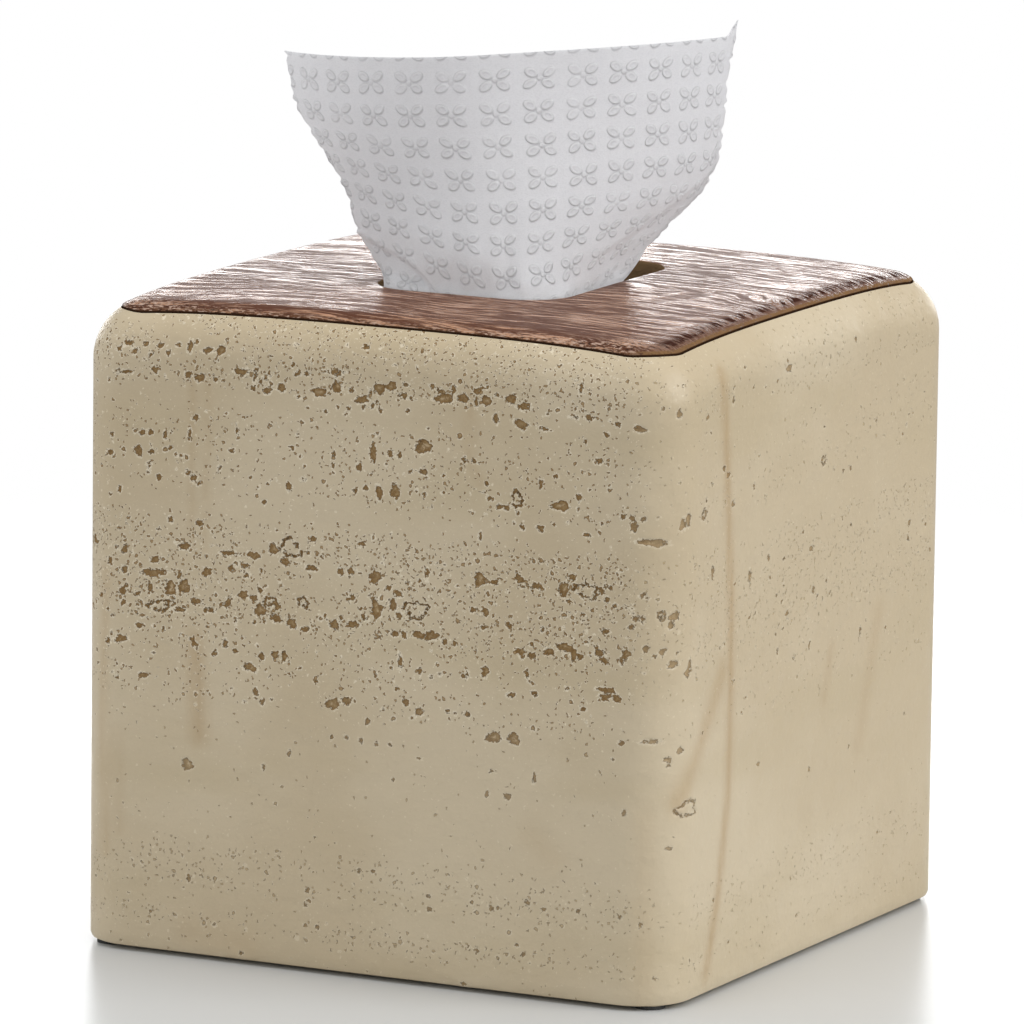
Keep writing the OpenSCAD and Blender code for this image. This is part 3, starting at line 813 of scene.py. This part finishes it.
def pad_pocket(build, x, y):
    """Cuts the pocket that one base pad sits in, and gives back its mouth."""
    angles = [2 * math.pi * k / pocket_steps for k in range(pocket_steps)]
    radius = pad_radius + pad_gap
    circle = [(x * pad_place + radius * math.cos(a), y * pad_place + radius * math.sin(a)) for a in angles]
    mouth, end = (build.ring([(*place, z) for place in circle]) for z in (pad_proud, pad_top))
    build.bridge(end, mouth)
    build.flat([end], False)
    return mouth


def stone_shell():
    rows, edge, sink = pit_grids()
    used, faces = skin_faces(refined_cells(edge))
    keys = np.array(list(used))
    around = keys[:, 1] * perimeter / fine_round
    up = rows[keys[:, 0]]
    place, outward = skin_at(around, up)
    place = place - outward * sink[keys[:, 0], keys[:, 1]][:, None]
    build = Builder(place, faces)

    end_rows = (0, cells_up * cell_cuts)
    bottom, top = ([used[(row, i * cell_cuts)] for i in range(cells_round)] for row in end_rows)
    recess = build.ring([(build.points[k][0], build.points[k][1], recess_z) for k in top])
    build.bridge(top, recess)
    deck = [size + deck_slot_margin for size in (slot_w / 2, slot_l / 2, slot_r)]
    deck_top, deck_low = (build.ring(ring_points(*deck, z, *deck_steps)) for z in (recess_z, cavity_h))
    build.flat([recess, deck_top], True)
    build.bridge(deck_top, deck_low)
    cavity = (cavity_w / 2, cavity_w / 2, cavity_r)
    heights = (cavity_h, pad_proud)
    cavity_top, cavity_foot = (build.ring(ring_points(*cavity, z, *cavity_steps)) for z in heights)
    build.flat([cavity_top, deck_low], False)
    build.bridge(cavity_top, cavity_foot)
    pockets = [pad_pocket(build, x, y) for x, y in ((-1, -1), (1, -1), (-1, 1), (1, 1))]
    build.flat([bottom, cavity_foot, *pockets], False)
    piece = add_mesh("pitted_stone_shell", build.points, build.faces, stone, "cover")
    inner = len(build.points) - len(keys)
    add_values(piece, "pit", np.append(edge[keys[:, 0], keys[:, 1]], np.full(inner, no_pit)))
    add_values(piece, "stain", np.append(stain_at(around, place[:, 2]), np.zeros(inner)))
    sharpen(piece, 40)
    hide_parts("stone_shell")


def sharpen(piece, degrees):
    """Keeps edges crisp where two faces meet at more than this angle."""
    mesh = bmesh.new()
    mesh.from_mesh(piece.data)
    bmesh.ops.recalc_face_normals(mesh, faces=mesh.faces)
    limit = math.radians(degrees)
    for edge in mesh.edges:
        if len(edge.link_faces) == 2:
            edge.smooth = edge.calc_face_angle() < limit
    mesh.to_mesh(piece.data)
    mesh.free()


stone = stone_finish()
stone_shell()


# Wooden top

# Colours of the wood: its ridges and grooves, pale fibres, flecks on the rolled edge, painted shade on the
# right end and in its grooves there, the raw edge painted brighter as key light, painted shade at the joint,
# and the slot's wall
WOOD_RIDGE, WOOD_GROOVE = (0.50, 0.262, 0.150), (0.115, 0.045, 0.025)
WOOD_FIBRE = (0.50, 0.33, 0.235)
ROLL_PALE, ROLL_DARK = (0.64, 0.46, 0.36), (0.035, 0.015, 0.010)
RIGHT_END_PAINTED_SHADE, RIGHT_GROOVE_PAINTED_SHADE = (0.16, 0.075, 0.045), (0.040, 0.016, 0.013)
RAW_EDGE_PAINTED_LIT = (0.24, 0.135, 0.062)
JOINT_PAINTED_SHADE = (0.040, 0.020, 0.011)
SLOT_WALL = (0.165, 0.105, 0.055)

# How far the grain's lines wander and waver from straight, and how much they bow away from the middle
grain_wander, grain_waver, grain_bow = 34, 9, 0.0010
# Width of the pale raw-edge line, painted strongest along the right side as key light
pale_edge_w = 1.1
# Two pointed pale figures in the grain: the tip of each, the darker line between them, how fast each
# side falls back, and how far they reach
figure_tips = (38.9, 46.4)
figure_between = 42.4
figure_y = -3.0
figure_low_share, figure_high_share = 0.31, 1.6
figure_low, figure_high = -19.0, 0.8


def wood_finish():
    f = Finish("walnut")
    rim = f.attribute("rim")
    bend = f.noise(f.vector(f.x, f.y * 1.6, 0.0), 0.012, 2, 0.5)
    across = f.y + (bend - 0.5) * grain_wander + f.x * f.x * grain_bow
    across = across + f.noise(f.vector(f.x * 0.2, f.y, 0.0), 0.06, 1, 0.5) * grain_waver
    lines = f.noise(f.vector(f.x * 0.05, across, f.z * 0.8), 0.92, 3, 0.66)
    fibres = f.noise(f.vector(f.x * 0.1, f.y, f.z), 1.9, 3, 0.62)
    ridge = f.step(lines * 0.65 + fibres * 0.35, 0.49, 0.57)

    wander = (f.noise(f.place, 0.25, 2, 0.5) - 0.5) * 2.5
    below = f.larger(figure_y - f.y, 0.0)
    above = f.larger(f.y - figure_y, 0.0)
    front = f.x + below * figure_low_share + above * figure_high_share + wander
    figure = 0.0
    for tip in figure_tips:
        figure = f.step(f.math("ABSOLUTE", front - tip), 2.0, 0.3) + figure
    reach = f.step(f.y, figure_low - 3, figure_low + 2) * f.step(f.y, figure_high + 2, figure_high)
    figure = figure * reach * f.step(fibres, 0.44, 0.58)
    ridge = f.larger(ridge, figure * 0.75)
    ridge = ridge * (1 - f.step(f.math("ABSOLUTE", front - figure_between), 2.4, 1.6) * reach * 0.55)

    nick = f.step(f.noise(f.vector(f.x * 0.22, f.y, f.z), 1.8, 3, 0.6), 0.60, 0.66)
    groove = f.larger(1 - ridge, nick)
    colour = f.colour_mix(WOOD_RIDGE, WOOD_GROOVE, groove)
    colour = f.colour_mix(colour, WOOD_FIBRE, f.step(fibres, 0.54, 0.66) * 0.4)
    on_roll = f.step(f.z, cover_h - 0.9, cover_h - 2.0)
    fleck = f.noise(f.vector(f.x * 0.4, f.y, f.z), 2.2, 2, 0.6)
    colour = f.colour_mix(colour, ROLL_PALE, f.step(fleck, 0.53, 0.60) * on_roll * 0.8)
    colour = f.colour_mix(colour, ROLL_DARK, f.step(fleck, 0.45, 0.37) * on_roll * 0.85)
    on_right = f.step(f.x, wood_w / 2 - 9, wood_w / 2 - 3)
    # Painted shade on the right end of the top, where it rolls over: darker overall, near black in its
    # grooves
    right_groove_painted_shade = f.step(rim, 1.3, 2.0) * f.step(rim, 5.2, 3.2) * f.step(lines, 0.56, 0.46)
    colour = f.colour_mix(colour, RIGHT_END_PAINTED_SHADE, on_right * 0.7)
    colour = f.colour_mix(colour, RIGHT_GROOVE_PAINTED_SHADE, right_groove_painted_shade * on_right * 0.85)
    # Pale raw edge, partly the wood's own colour and partly painted key light, strongest on the right side
    patchy_share = f.step(rim, pale_edge_w, pale_edge_w - 0.5) * f.step(fleck, 0.34, 0.44)
    colour = f.colour_mix(colour, RAW_EDGE_PAINTED_LIT, patchy_share * mix(0.15, 0.95, on_right))
    # Painted shade: the wood's outer side near black, as the shadow in the gap above the stone
    joint_painted_shade = f.step(rim, 0.05, -0.15)
    colour = f.colour_mix(colour, JOINT_PAINTED_SHADE, joint_painted_shade)
    in_slot = f.step(rim, 7, 9)
    colour = f.colour_mix(colour, SLOT_WALL, in_slot)
    normal = f.bump(1 - groove, 0.10)
    normal = f.bump(fleck * on_roll, 0.30, below=normal)
    shine = mix(0.27, 0.05, groove) * (1 - joint_painted_shade) * (1 - in_slot)
    shine = shine * (1 - f.larger(right_groove_painted_shade, patchy_share) * on_right)
    return f.surface(colour, mix(0.12, 0.42, groove), normal, Specular_IOR_Level=shine)


# The wood's rings: how far in each lies, the last where the even spread to the slot begins
RIM_INSETS = (0.5, 0.75, 1, 1.4, 1.8, 2.3, 3, 4, 5.5)
# The slot's eased edge: how far each ring lies in from where the easing starts, and how far down
SLOT_EASING = ((0.35, 0.12), (0.62, 0.38), (0.8, 0.85))
top_edge_r = 0.25
inside_slot = 10.0


def wooden_top():
    corner_steps, side_steps = 14, 36
    build = Builder()

    def outline(inset, z=0):
        half = wood_w / 2 - inset
        return ring_points(half, half, max(wood_r - inset, 0.5), z, corner_steps, side_steps)

    def slot_outline(out, z=0):
        return ring_points(slot_w / 2 + out, slot_l / 2 + out, slot_r + out, z, corner_steps, side_steps)

    def raised(points, lower):
        flat = np.array(points)
        heights = top_height(flat[:, 0], flat[:, 1], wood_proud)
        return [(x, y, h - lower) for (x, y, _), h in zip(points, heights)]

    rings = [build.ring(outline(0, wood_z))]
    rims = [-1.0]
    for angle in (0, math.pi / 4, math.pi / 2):
        inset, lower = top_edge_r * (1 - math.cos(angle)), top_edge_r * (1 - math.sin(angle))
        rings.append(build.ring(raised(outline(inset), lower)))
        rims.append(inset - lower)
    for inset in RIM_INSETS:
        rings.append(build.ring(raised(outline(inset), 0)))
        rims.append(inset)
    outer = np.array(outline(RIM_INSETS[-1]))
    inner = np.array(slot_outline(slot_ease))
    steps = 40
    for k in range(1, steps + 1):
        share = k / steps
        share = mix(share, share**1.6, 0.6)
        rings.append(build.ring(raised([tuple(p) for p in mix(outer, inner, share)], 0)))
    rims += [RIM_INSETS[-1]] * steps
    for inset, lower in SLOT_EASING:
        rings.append(build.ring(raised(slot_outline(slot_ease - inset), lower)))
    rings.append(build.ring(slot_outline(0, wood_z)))
    for low, high in zip(rings, rings[1:]):
        build.bridge(low, high)
    build.flat([rings[0], rings[-1]], False)
    piece = add_mesh("brushed_wooden_top", build.points, build.faces, walnut, "cover")
    rims += [inside_slot] * (len(rings) - len(rims))
    add_values(piece, "rim", np.repeat(rims, len(outer)))
    sharpen(piece, 50)
    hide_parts("wood_top")


walnut = wood_finish()
wooden_top()


# Tissue

path_inset = sheet_gap + sheet_t / 2
path_r = slot_r - path_inset
slot_straight = slot_w / 2 - slot_r
corner_run = path_r * math.pi / 2
path_l = sheet_left + slot_straight + corner_run + slot_l / 2 - slot_r + sheet_back


def slot_path(share):
    """Plan points of the line that the sheet follows inside the slot."""
    along = share * path_l - sheet_left
    centre_y = slot_r - slot_l / 2
    left = np.clip((-slot_straight - along) / path_r, 0, math.pi / 2)
    right = np.clip((along - slot_straight) / path_r, 0, math.pi / 2)
    x = np.clip(along, -slot_straight, slot_straight) + path_r * (np.sin(right) - np.sin(left))
    y = centre_y - path_r * np.where(along > slot_straight, np.cos(right), np.cos(left))
    y = y + np.clip(along - slot_straight - corner_run, 0, None)
    return np.stack([x, y], -1)


def fan_path(share):
    facing = np.array([math.sin(fan_turn), -math.cos(fan_turn)])
    right = np.array([math.cos(fan_turn), math.sin(fan_turn)])
    angle = mix(-fan_half_angle, fan_half_angle, share)[..., None]
    centre = (fan_reach - fan_r) * facing + fan_shift * right
    return centre + fan_r * (np.sin(angle) * right + np.cos(angle) * facing)


def rounded_path(share):
    """A rounder line between the same ends, which the sheet takes once it is out of the slot."""
    start, middle, end = (slot_path(np.full_like(share, k)) for k in (0.0, 0.5, 1.0))
    pull = 2 * middle - (start + end) / 2
    share = share[..., None]
    return (1 - share)**2 * start + 2 * share * (1 - share) * pull + share**2 * end


def flare(across, up):
    return mix(np.sin(math.pi / 2 * up)**left_flare_share, 1 - (1 - up)**right_flare_share, across)


def pulled_point(across, up):
    z = cover_h + up * mix(rise_left, rise_right, across)
    start = mix(slot_path(across), rounded_path(across), smooth_step(0, 9, z - cover_h)[..., None])
    plan = mix(start, fan_path(across), flare(across, up)[..., None])
    return np.concatenate([plan, z[..., None]], -1)


# The embossed pattern: rows of four-petal flowers, measured from the sheet's top edge
flower_wide, flower_tall = 9.1, 6.8
flower_from_middle = 5.5
flower_from_top = 5.2
petal_out, petal_up = 1.82, 1.2
petal_long, petal_short = 1.25, 0.78
petal_lean = math.radians(27)
petal_puff = 0.2
bud_r = 0.42
# Thickness of one sheet of paper as it is drawn
paper_t = 0.25

# Colours of the paper: its two tones, its fibres, and an embossed edge in the light and in the shade
PAPER_DULL, PAPER_WHITE = (0.87, 0.87, 0.878), (0.93, 0.93, 0.938)
PAPER_FIBRE = (0.72, 0.72, 0.73)
PAPER_LIT, PAPER_SHADE = (1.0, 1.0, 1.0), (0.55, 0.55, 0.565)


def petal_reach(weft, warp):
    """How far out each point lies from the nearest petal's middle. It is 1 at the petal's edge."""
    dx = np.abs((weft - flower_from_middle) / flower_wide % 1 - 0.5) * flower_wide
    dy = np.abs((warp - flower_from_top) / flower_tall % 1 - 0.5) * flower_tall
    dx, dy = flower_wide / 2 - dx - petal_out, flower_tall / 2 - dy - petal_up
    long_way = dx * math.cos(petal_lean) + dy * math.sin(petal_lean)
    short_way = dy * math.cos(petal_lean) - dx * math.sin(petal_lean)
    return np.hypot(long_way / petal_long, short_way / petal_short)


def paper_finish():
    f = Finish("tissue_paper")
    wander = f.noise(f.place, 0.11, 1, 0.5) - 0.5
    weft = f.attribute("weft") + wander * 1.2
    warp = f.attribute("warp") + wander * 0.8

    def from_flower(value, start, pitch):
        share = f.math("FRACT", (value - start) / pitch + 100.5)
        return f.math("ABSOLUTE", share - 0.5) * pitch

    def relief_at(across, down):
        dx = from_flower(across, flower_from_middle, flower_wide)
        dy = from_flower(down, flower_from_top, flower_tall)
        bud = f.math("SQRT", dx * dx + dy * dy) / bud_r
        dx, dy = dx - petal_out, dy - petal_up
        cos, sin = math.cos(petal_lean), math.sin(petal_lean)
        long_way = (dx * cos + dy * sin) / petal_long
        short_way = (dy * cos - dx * sin) / petal_short
        reach = f.math("SQRT", long_way * long_way + short_way * short_way)
        petal = f.step(reach, 1.25, 0.95) - f.step(reach, 0.80, 0.40) * 0.5
        return f.larger(petal, f.step(bud, 1.6, 0.7) * 0.8)

    patchy_share = f.step(f.noise(f.place, 0.16, 2, 0.5), 0.3, 0.55) * 0.45 + 0.55
    relief = relief_at(weft, warp)
    # Painted highlight above each embossed edge and painted shade below it
    emboss_painted_light = (relief - relief_at(weft - 0.12, warp - 0.34)) * patchy_share
    relief = relief * patchy_share
    cloud = f.noise(f.place, 0.9, 4, 0.65)
    fibre = f.noise(f.vector(f.attribute("weft") * 0.6, warp, 0.0), 3.2, 3, 0.65)
    colour = f.colour_mix(PAPER_DULL, PAPER_WHITE, f.step(cloud, 0.3, 0.7))
    colour = f.colour_mix(colour, PAPER_FIBRE, f.step(fibre, 0.48, 0.62) * 0.5)
    colour = f.colour_mix(colour, PAPER_LIT, f.step(emboss_painted_light, 0.05, 0.8))
    colour = f.colour_mix(colour, PAPER_SHADE, f.step(emboss_painted_light, -0.05, -0.8) * 0.7)
    normal = f.bump(fibre, 0.10)
    normal = f.bump(cloud, 0.10, below=normal)
    normal = f.bump(relief, 0.40, below=normal)
    f.surface(colour, 0.85, normal, Specular_IOR_Level=0.2)
    through = f.add("ShaderNodeBsdfTranslucent", {"Color": (0.96, 0.96, 0.97, 1)})
    return f.shown(f.blend(f.shader, through.outputs[0], 0.58))


def grid_mesh(name, grid, finish, body):
    rows, columns = grid.shape[:2]
    faces = [(j * columns + k, j * columns + k + 1, (j + 1) * columns + k + 1, (j + 1) * columns + k)
             for j in range(rows - 1) for k in range(columns - 1)]
    return add_mesh(name, grid.reshape(-1, 3), faces, finish, body)


def thicken(piece, thickness):
    solid = piece.modifiers.new("thickness", "SOLIDIFY")
    solid.thickness = thickness * MM
    solid.offset = 0


# The sheet's two side edges in the view along the fan's middle: place across and height above the wood
LEFT_EDGE = [
    (-27.8, 0), (-30.5, 4.7), (-33.8, 10), (-35.4, 16), (-38.5, 21.7), (-42.9, 27.7), (-46.6, 33.5),
    (-48, 39), (-49, 45),
]
RIGHT_EDGE = [(20, 0), (25.1, 5.5), (32.6, 12.9), (37, 16.9), (40.2, 23.9), (41.2, 33), (41.8, 41), (43, 48)]
# Its top edge: height above the wood at each end, the bow between them, and how far it sways
top_left, top_right, top_bow, top_sway = 44.4, 48.6, 1.6, 0.6
# Small scallops down the side edges, and the raised tip at the right end of the top edge
edge_scallop = 0.35
scallop_pitch = 3.1
tip_rise, tip_out = 3.2, 0.9

# Two creases where the gathered sheet folds back: their line in the same view, and how deep they fold
LEFT_CREASE = [(-35, 10.2), (-29, 8), (-24, 6.4), (-20, 3.4), (-17.5, 0)]
RIGHT_CREASE = [(14, 7), (22, 11), (30, 15.5), (38, 21)]
crease_depth = 2.3


def smooth_line(places, known, points):
    """The other part of a short list of points, with rounded turns, where part 0 or 1 of them is known."""
    line = np.array(points)
    total = 0
    for shift in (-1.2, 0, 1.2):
        total = total + np.interp(places + shift, line[:, known], line[:, 1 - known])
    return total / 3


# The way to the right and the way forward, as seen along the fan's middle
fan_right = np.array([math.cos(fan_turn), math.sin(fan_turn), 0])
fan_toward = np.array([math.sin(fan_turn), -math.cos(fan_turn), 0])


def with_side_edges(grid, across, rise):
    """Moves the grid's sides out to the two side edges, and scallops them."""
    seen = grid @ fan_right
    left_gap = smooth_line(rise[:, :1], 1, LEFT_EDGE) - seen[:, :1]
    right_gap = smooth_line(rise[:, -1:], 1, RIGHT_EDGE) - seen[:, -1:]
    start = smooth_step(0, 6, rise)
    shift = left_gap * (1 - across)**2.5 * start + right_gap * across**2.5 * start
    ripple = np.sin(2 * math.pi * rise / scallop_pitch + 2 * np.sin(rise * 0.7))
    ripple = ripple * (0.6 + 0.4 * np.sin(rise * 1.3 + 1))
    from_left, from_right = across * path_l, (1 - across) * path_l
    shift = shift + edge_scallop * ripple * start * (np.exp(-from_right / 1.2) - np.exp(-from_left / 1.2))
    return grid + shift[..., None] * fan_right


def with_folds(grid, rise):
    """Folds the grid back below its creases, and gathers it near the wood."""
    seen = grid @ fan_right
    below = smooth_line(seen, 0, LEFT_CREASE) - rise
    fold = smooth_step(-0.2, 1.3, below) * smooth_step(-16.5, -19.5, seen) * smooth_step(0, 2.5, rise)
    below = smooth_line(seen, 0, RIGHT_CREASE) - rise
    fold = fold + 0.8 * smooth_step(-0.2, 1.8, below) * smooth_step(14, 19, seen) * smooth_step(0, 2.5, rise)
    gathers = np.sin(seen * 0.55 + 0.5) * 0.5 + np.sin(seen * 1.15 + 2.0) * 0.28
    wave = gathers * smooth_step(0, 3, rise) * np.exp(-rise / 9)
    wave = wave + 0.35 * np.sin(seen * 0.16 + rise * 0.09) * smooth_step(0, 20, rise)
    return grid + (wave - crease_depth * fold)[..., None] * fan_toward


def with_tail(grid, tail_rows):
    """Adds the part inside the slot, straight below the grid's lowest row."""
    tail = np.repeat(grid[:1], tail_rows, 0)
    tail[:, :, 2] = np.linspace(tail_z, cover_h, tail_rows, endpoint=False)[:, None]
    return np.concatenate([tail, grid])


def cloth_places(grid):
    """How far each point lies from the sheet's middle, and from its top edge, measured on the sheet."""
    columns = grid.shape[1]
    middle = columns // 2
    along = np.linalg.norm(np.diff(grid, axis=1), axis=2)
    along = np.concatenate([np.zeros((len(grid), 1)), np.cumsum(along, 1)], 1)
    weft = along - along[:, middle:middle + 1]
    cut = np.linspace(-0.5, 0.5, columns)[None, :] * along[-1:, -1:]
    fall = np.linalg.norm(np.diff(grid[::-1], axis=0), axis=2)
    warp = np.concatenate([np.zeros((1, columns)), np.cumsum(fall, 0)])[::-1]
    return mix(weft, cut, 0.3), warp


def pulled_tissue():
    columns, rows, tail_rows = 250, 124, 24
    across, up = np.meshgrid(np.linspace(0, 1, columns), np.linspace(0, 1, rows))
    grid = pulled_point(across, up)
    top = mix(top_left, top_right, across) + top_bow * np.sin(math.pi * across)
    grid[..., 2] = cover_h + up * (top - top_sway * np.sin(2 * math.pi * across))
    rise = grid[..., 2] - cover_h
    grid = with_folds(with_side_edges(grid, across, rise), rise)
    tip = smooth_step(0.972, 1, across) * smooth_step(0.95, 1, up)
    grid = grid + tip[..., None] * (np.array([0, 0, tip_rise]) + tip_out * fan_right)
    grid = with_tail(grid, tail_rows)

    weft, warp = cloth_places(grid)
    puff = petal_puff * smooth_step(1.15, 0.6, petal_reach(weft, warp))
    normal = np.cross(np.gradient(grid, axis=1), np.gradient(grid, axis=0))
    normal = normal / np.linalg.norm(normal, axis=2, keepdims=True)
    grid = grid + (puff * smooth_step(cover_h + 1, cover_h + 4, grid[..., 2]))[..., None] * normal
    piece = grid_mesh("pulled_tissue_sheet", grid, paper, "sheet")
    add_values(piece, "weft", weft.ravel())
    add_values(piece, "warp", warp.ravel())
    thicken(piece, paper_t)
    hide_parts("pulled_tissue")


# Folds that lie side by side in the next sheet, as deep as it takes to keep its flat width all the way up
next_folds = 5


def next_tissue():
    across, down = np.meshgrid(np.linspace(0, 1, 151), np.linspace(1, 0, 70))
    half = mix(next_top_half, next_base_half, down**2)
    uneven = 0.08 * across * (1 - across) * np.sin(5 * down + 7 * across)
    depth = np.sqrt(next_base_half**2 - half**2) / (2 * next_folds)
    fold = depth * np.sin(2 * math.pi * next_folds * (across + uneven))
    grid = np.stack([
        (2 * across - 1) * half,
        mix(-next_top_front, next_base_back, 1 - (1 - down)**2) - 0.8 * fold,
        mix(film_z - next_top_gap, stack_top + sheet_t, down) - 0.6 * fold,
    ], -1)
    piece = grid_mesh("next_tissue_sheet", grid, paper, "refill")
    thicken(piece, paper_t)
    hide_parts("next_tissue")


def tissue_stack():
    layers = 24
    layer_h = (stack_top - stack_low.z) / layers
    build = Builder()
    outline = []
    for side in (1, -1):
        points = []
        for layer in range(layers):
            for k in range(5):
                angle = math.pi * k / 4 - math.pi / 2
                x = side * (stack_w / 2 - layer_h / 2 + layer_h / 2 * math.cos(angle))
                points.append((x, stack_low.z + (layer + 0.5) * layer_h + layer_h / 2 * math.sin(angle)))
        outline += points if side == 1 else points[::-1]
    rings = []
    for y in (-stack_w / 2, stack_w / 2):
        rings.append(build.ring([(x, y, z) for x, z in outline]))
    build.bridge(rings[1], rings[0])
    build.faces.append(tuple(rings[0]))
    build.faces.append(tuple(reversed(rings[1])))
    piece = add_mesh("folded_tissue_stack", build.points, build.faces, paper, "refill")
    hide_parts("tissue_stack")
    sharpen(piece, 60)


paper = paper_finish()
pulled_tissue()
tissue_stack()
next_tissue()


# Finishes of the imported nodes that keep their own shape


def card_finish():
    f = Finish("carton_card")
    cloud = f.noise(f.place, 0.02, 2, 0.5)
    colour = f.colour_mix((0.62, 0.74, 0.76), (0.78, 0.84, 0.83), f.step(cloud, 0.3, 0.7))
    return f.surface(colour, 0.45)


def plain_finish(name, colour, roughness, **settings):
    f = Finish(name)
    cloud = f.noise(f.place, 1.5, 3, 0.5)
    darker = tuple(0.85 * c for c in colour)
    return f.surface(f.colour_mix(darker, colour, cloud), roughness, f.bump(cloud, 0.05), **settings)


def dress(name, finish):
    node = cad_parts[name]
    node.data.materials.clear()
    node.data.materials.append(finish)


dress("tissue_carton", card_finish())
dress("slit_film", plain_finish("clear_film", (0.85, 0.9, 0.92), 0.12, Alpha=0.35))
dress("bonding_sheet", plain_finish("bonding_foam", (0.75, 0.74, 0.70), 0.8))
rubber = plain_finish("pad_rubber", (0.05, 0.05, 0.048), 0.7)
for end in ("front_left", "front_right", "back_left", "back_right"):
    dress("base_pad_" + end, rubber)


# Floor, backdrop and light

floor_half = 1500
floor_fade_from, floor_fade_to = 150, 520
# The point that every lamp faces, in metres, as the lamps' own places and sizes are
lamp_aim = Vector((0, 0, 0.08))


def add_floor():
    """A pale floor that fades into the white backdrop away from the part."""
    f = Finish("pale_floor")
    away = f.math("SQRT", f.x * f.x + f.y * f.y)
    colour = f.colour_mix((0.67, 0.685, 0.69), (0.82, 0.82, 0.82), f.step(away, 110.0, 330.0))
    f.surface(colour, 0.3)
    clear = f.add("ShaderNodeBsdfTransparent")
    f.shown(f.blend(f.shader, clear.outputs[0], f.step(away, floor_fade_from, floor_fade_to)))
    corners = [(x * floor_half, y * floor_half, 0) for x, y in ((-1, -1), (1, -1), (1, 1), (-1, 1))]
    mesh = bpy.data.meshes.new("floor")
    mesh.from_pydata((np.array(corners) * MM).tolist(), [], [(0, 1, 2, 3)])
    mesh.materials.append(f.material)
    floor = add_object("floor", mesh)


def add_world():
    """White where the camera sees it, and softer where it lights the part."""
    world = bpy.data.worlds.new("studio")
    bpy.context.scene.world = world
    world.use_nodes = True
    nodes, links = world.node_tree.nodes, world.node_tree.links
    nodes.clear()
    blend = nodes.new("ShaderNodeMixShader")
    links.new(nodes.new("ShaderNodeLightPath").outputs["Is Camera Ray"], blend.inputs[0])
    for number, colour, strength in ((1, (0.97, 0.98, 1, 1), 0.36), (2, (1, 1, 1, 1), 1)):
        light = nodes.new("ShaderNodeBackground")
        light.inputs["Color"].default_value = colour
        light.inputs["Strength"].default_value = strength
        links.new(light.outputs[0], blend.inputs[number])
    links.new(blend.outputs[0], nodes.new("ShaderNodeOutputWorld").inputs[0])


def add_lamp(name, place, size, power, colour=(1, 1, 1), mirrored=True):
    lamp = bpy.data.lights.new(name, "AREA")
    lamp.shape = "RECTANGLE"
    lamp.size, lamp.size_y = size
    lamp.energy = power
    lamp.color = colour
    holder = add_object(name, lamp)
    holder.location = place
    aim = lamp_aim - Vector(place)
    holder.rotation_mode = "QUATERNION"
    holder.rotation_quaternion = aim.to_track_quat("-Z", "Y")
    holder.visible_camera = False
    holder.visible_glossy = mirrored


add_floor()
add_world()
add_lamp("key_right", (1.3, 0.1, 0.8), (0.9, 0.9), 11.5)
add_lamp("top", (0.1, -0.1, 1.5), (1.2, 1.2), 8.5, mirrored=False)
add_lamp("front_fill", (-0.7, -1.5, 0.7), (1.2, 0.9), 5.6, mirrored=False)
add_lamp("left_fill", (-1.45, -0.05, 0.75), (0.8, 0.8), 4.5, (0.95, 0.97, 1), mirrored=False)
add_lamp("bright_backdrop", (-0.75, 1.5, 0.255), (2.4, 0.31), 11.5)

bpy.context.scene.view_settings.view_transform = "Standard"
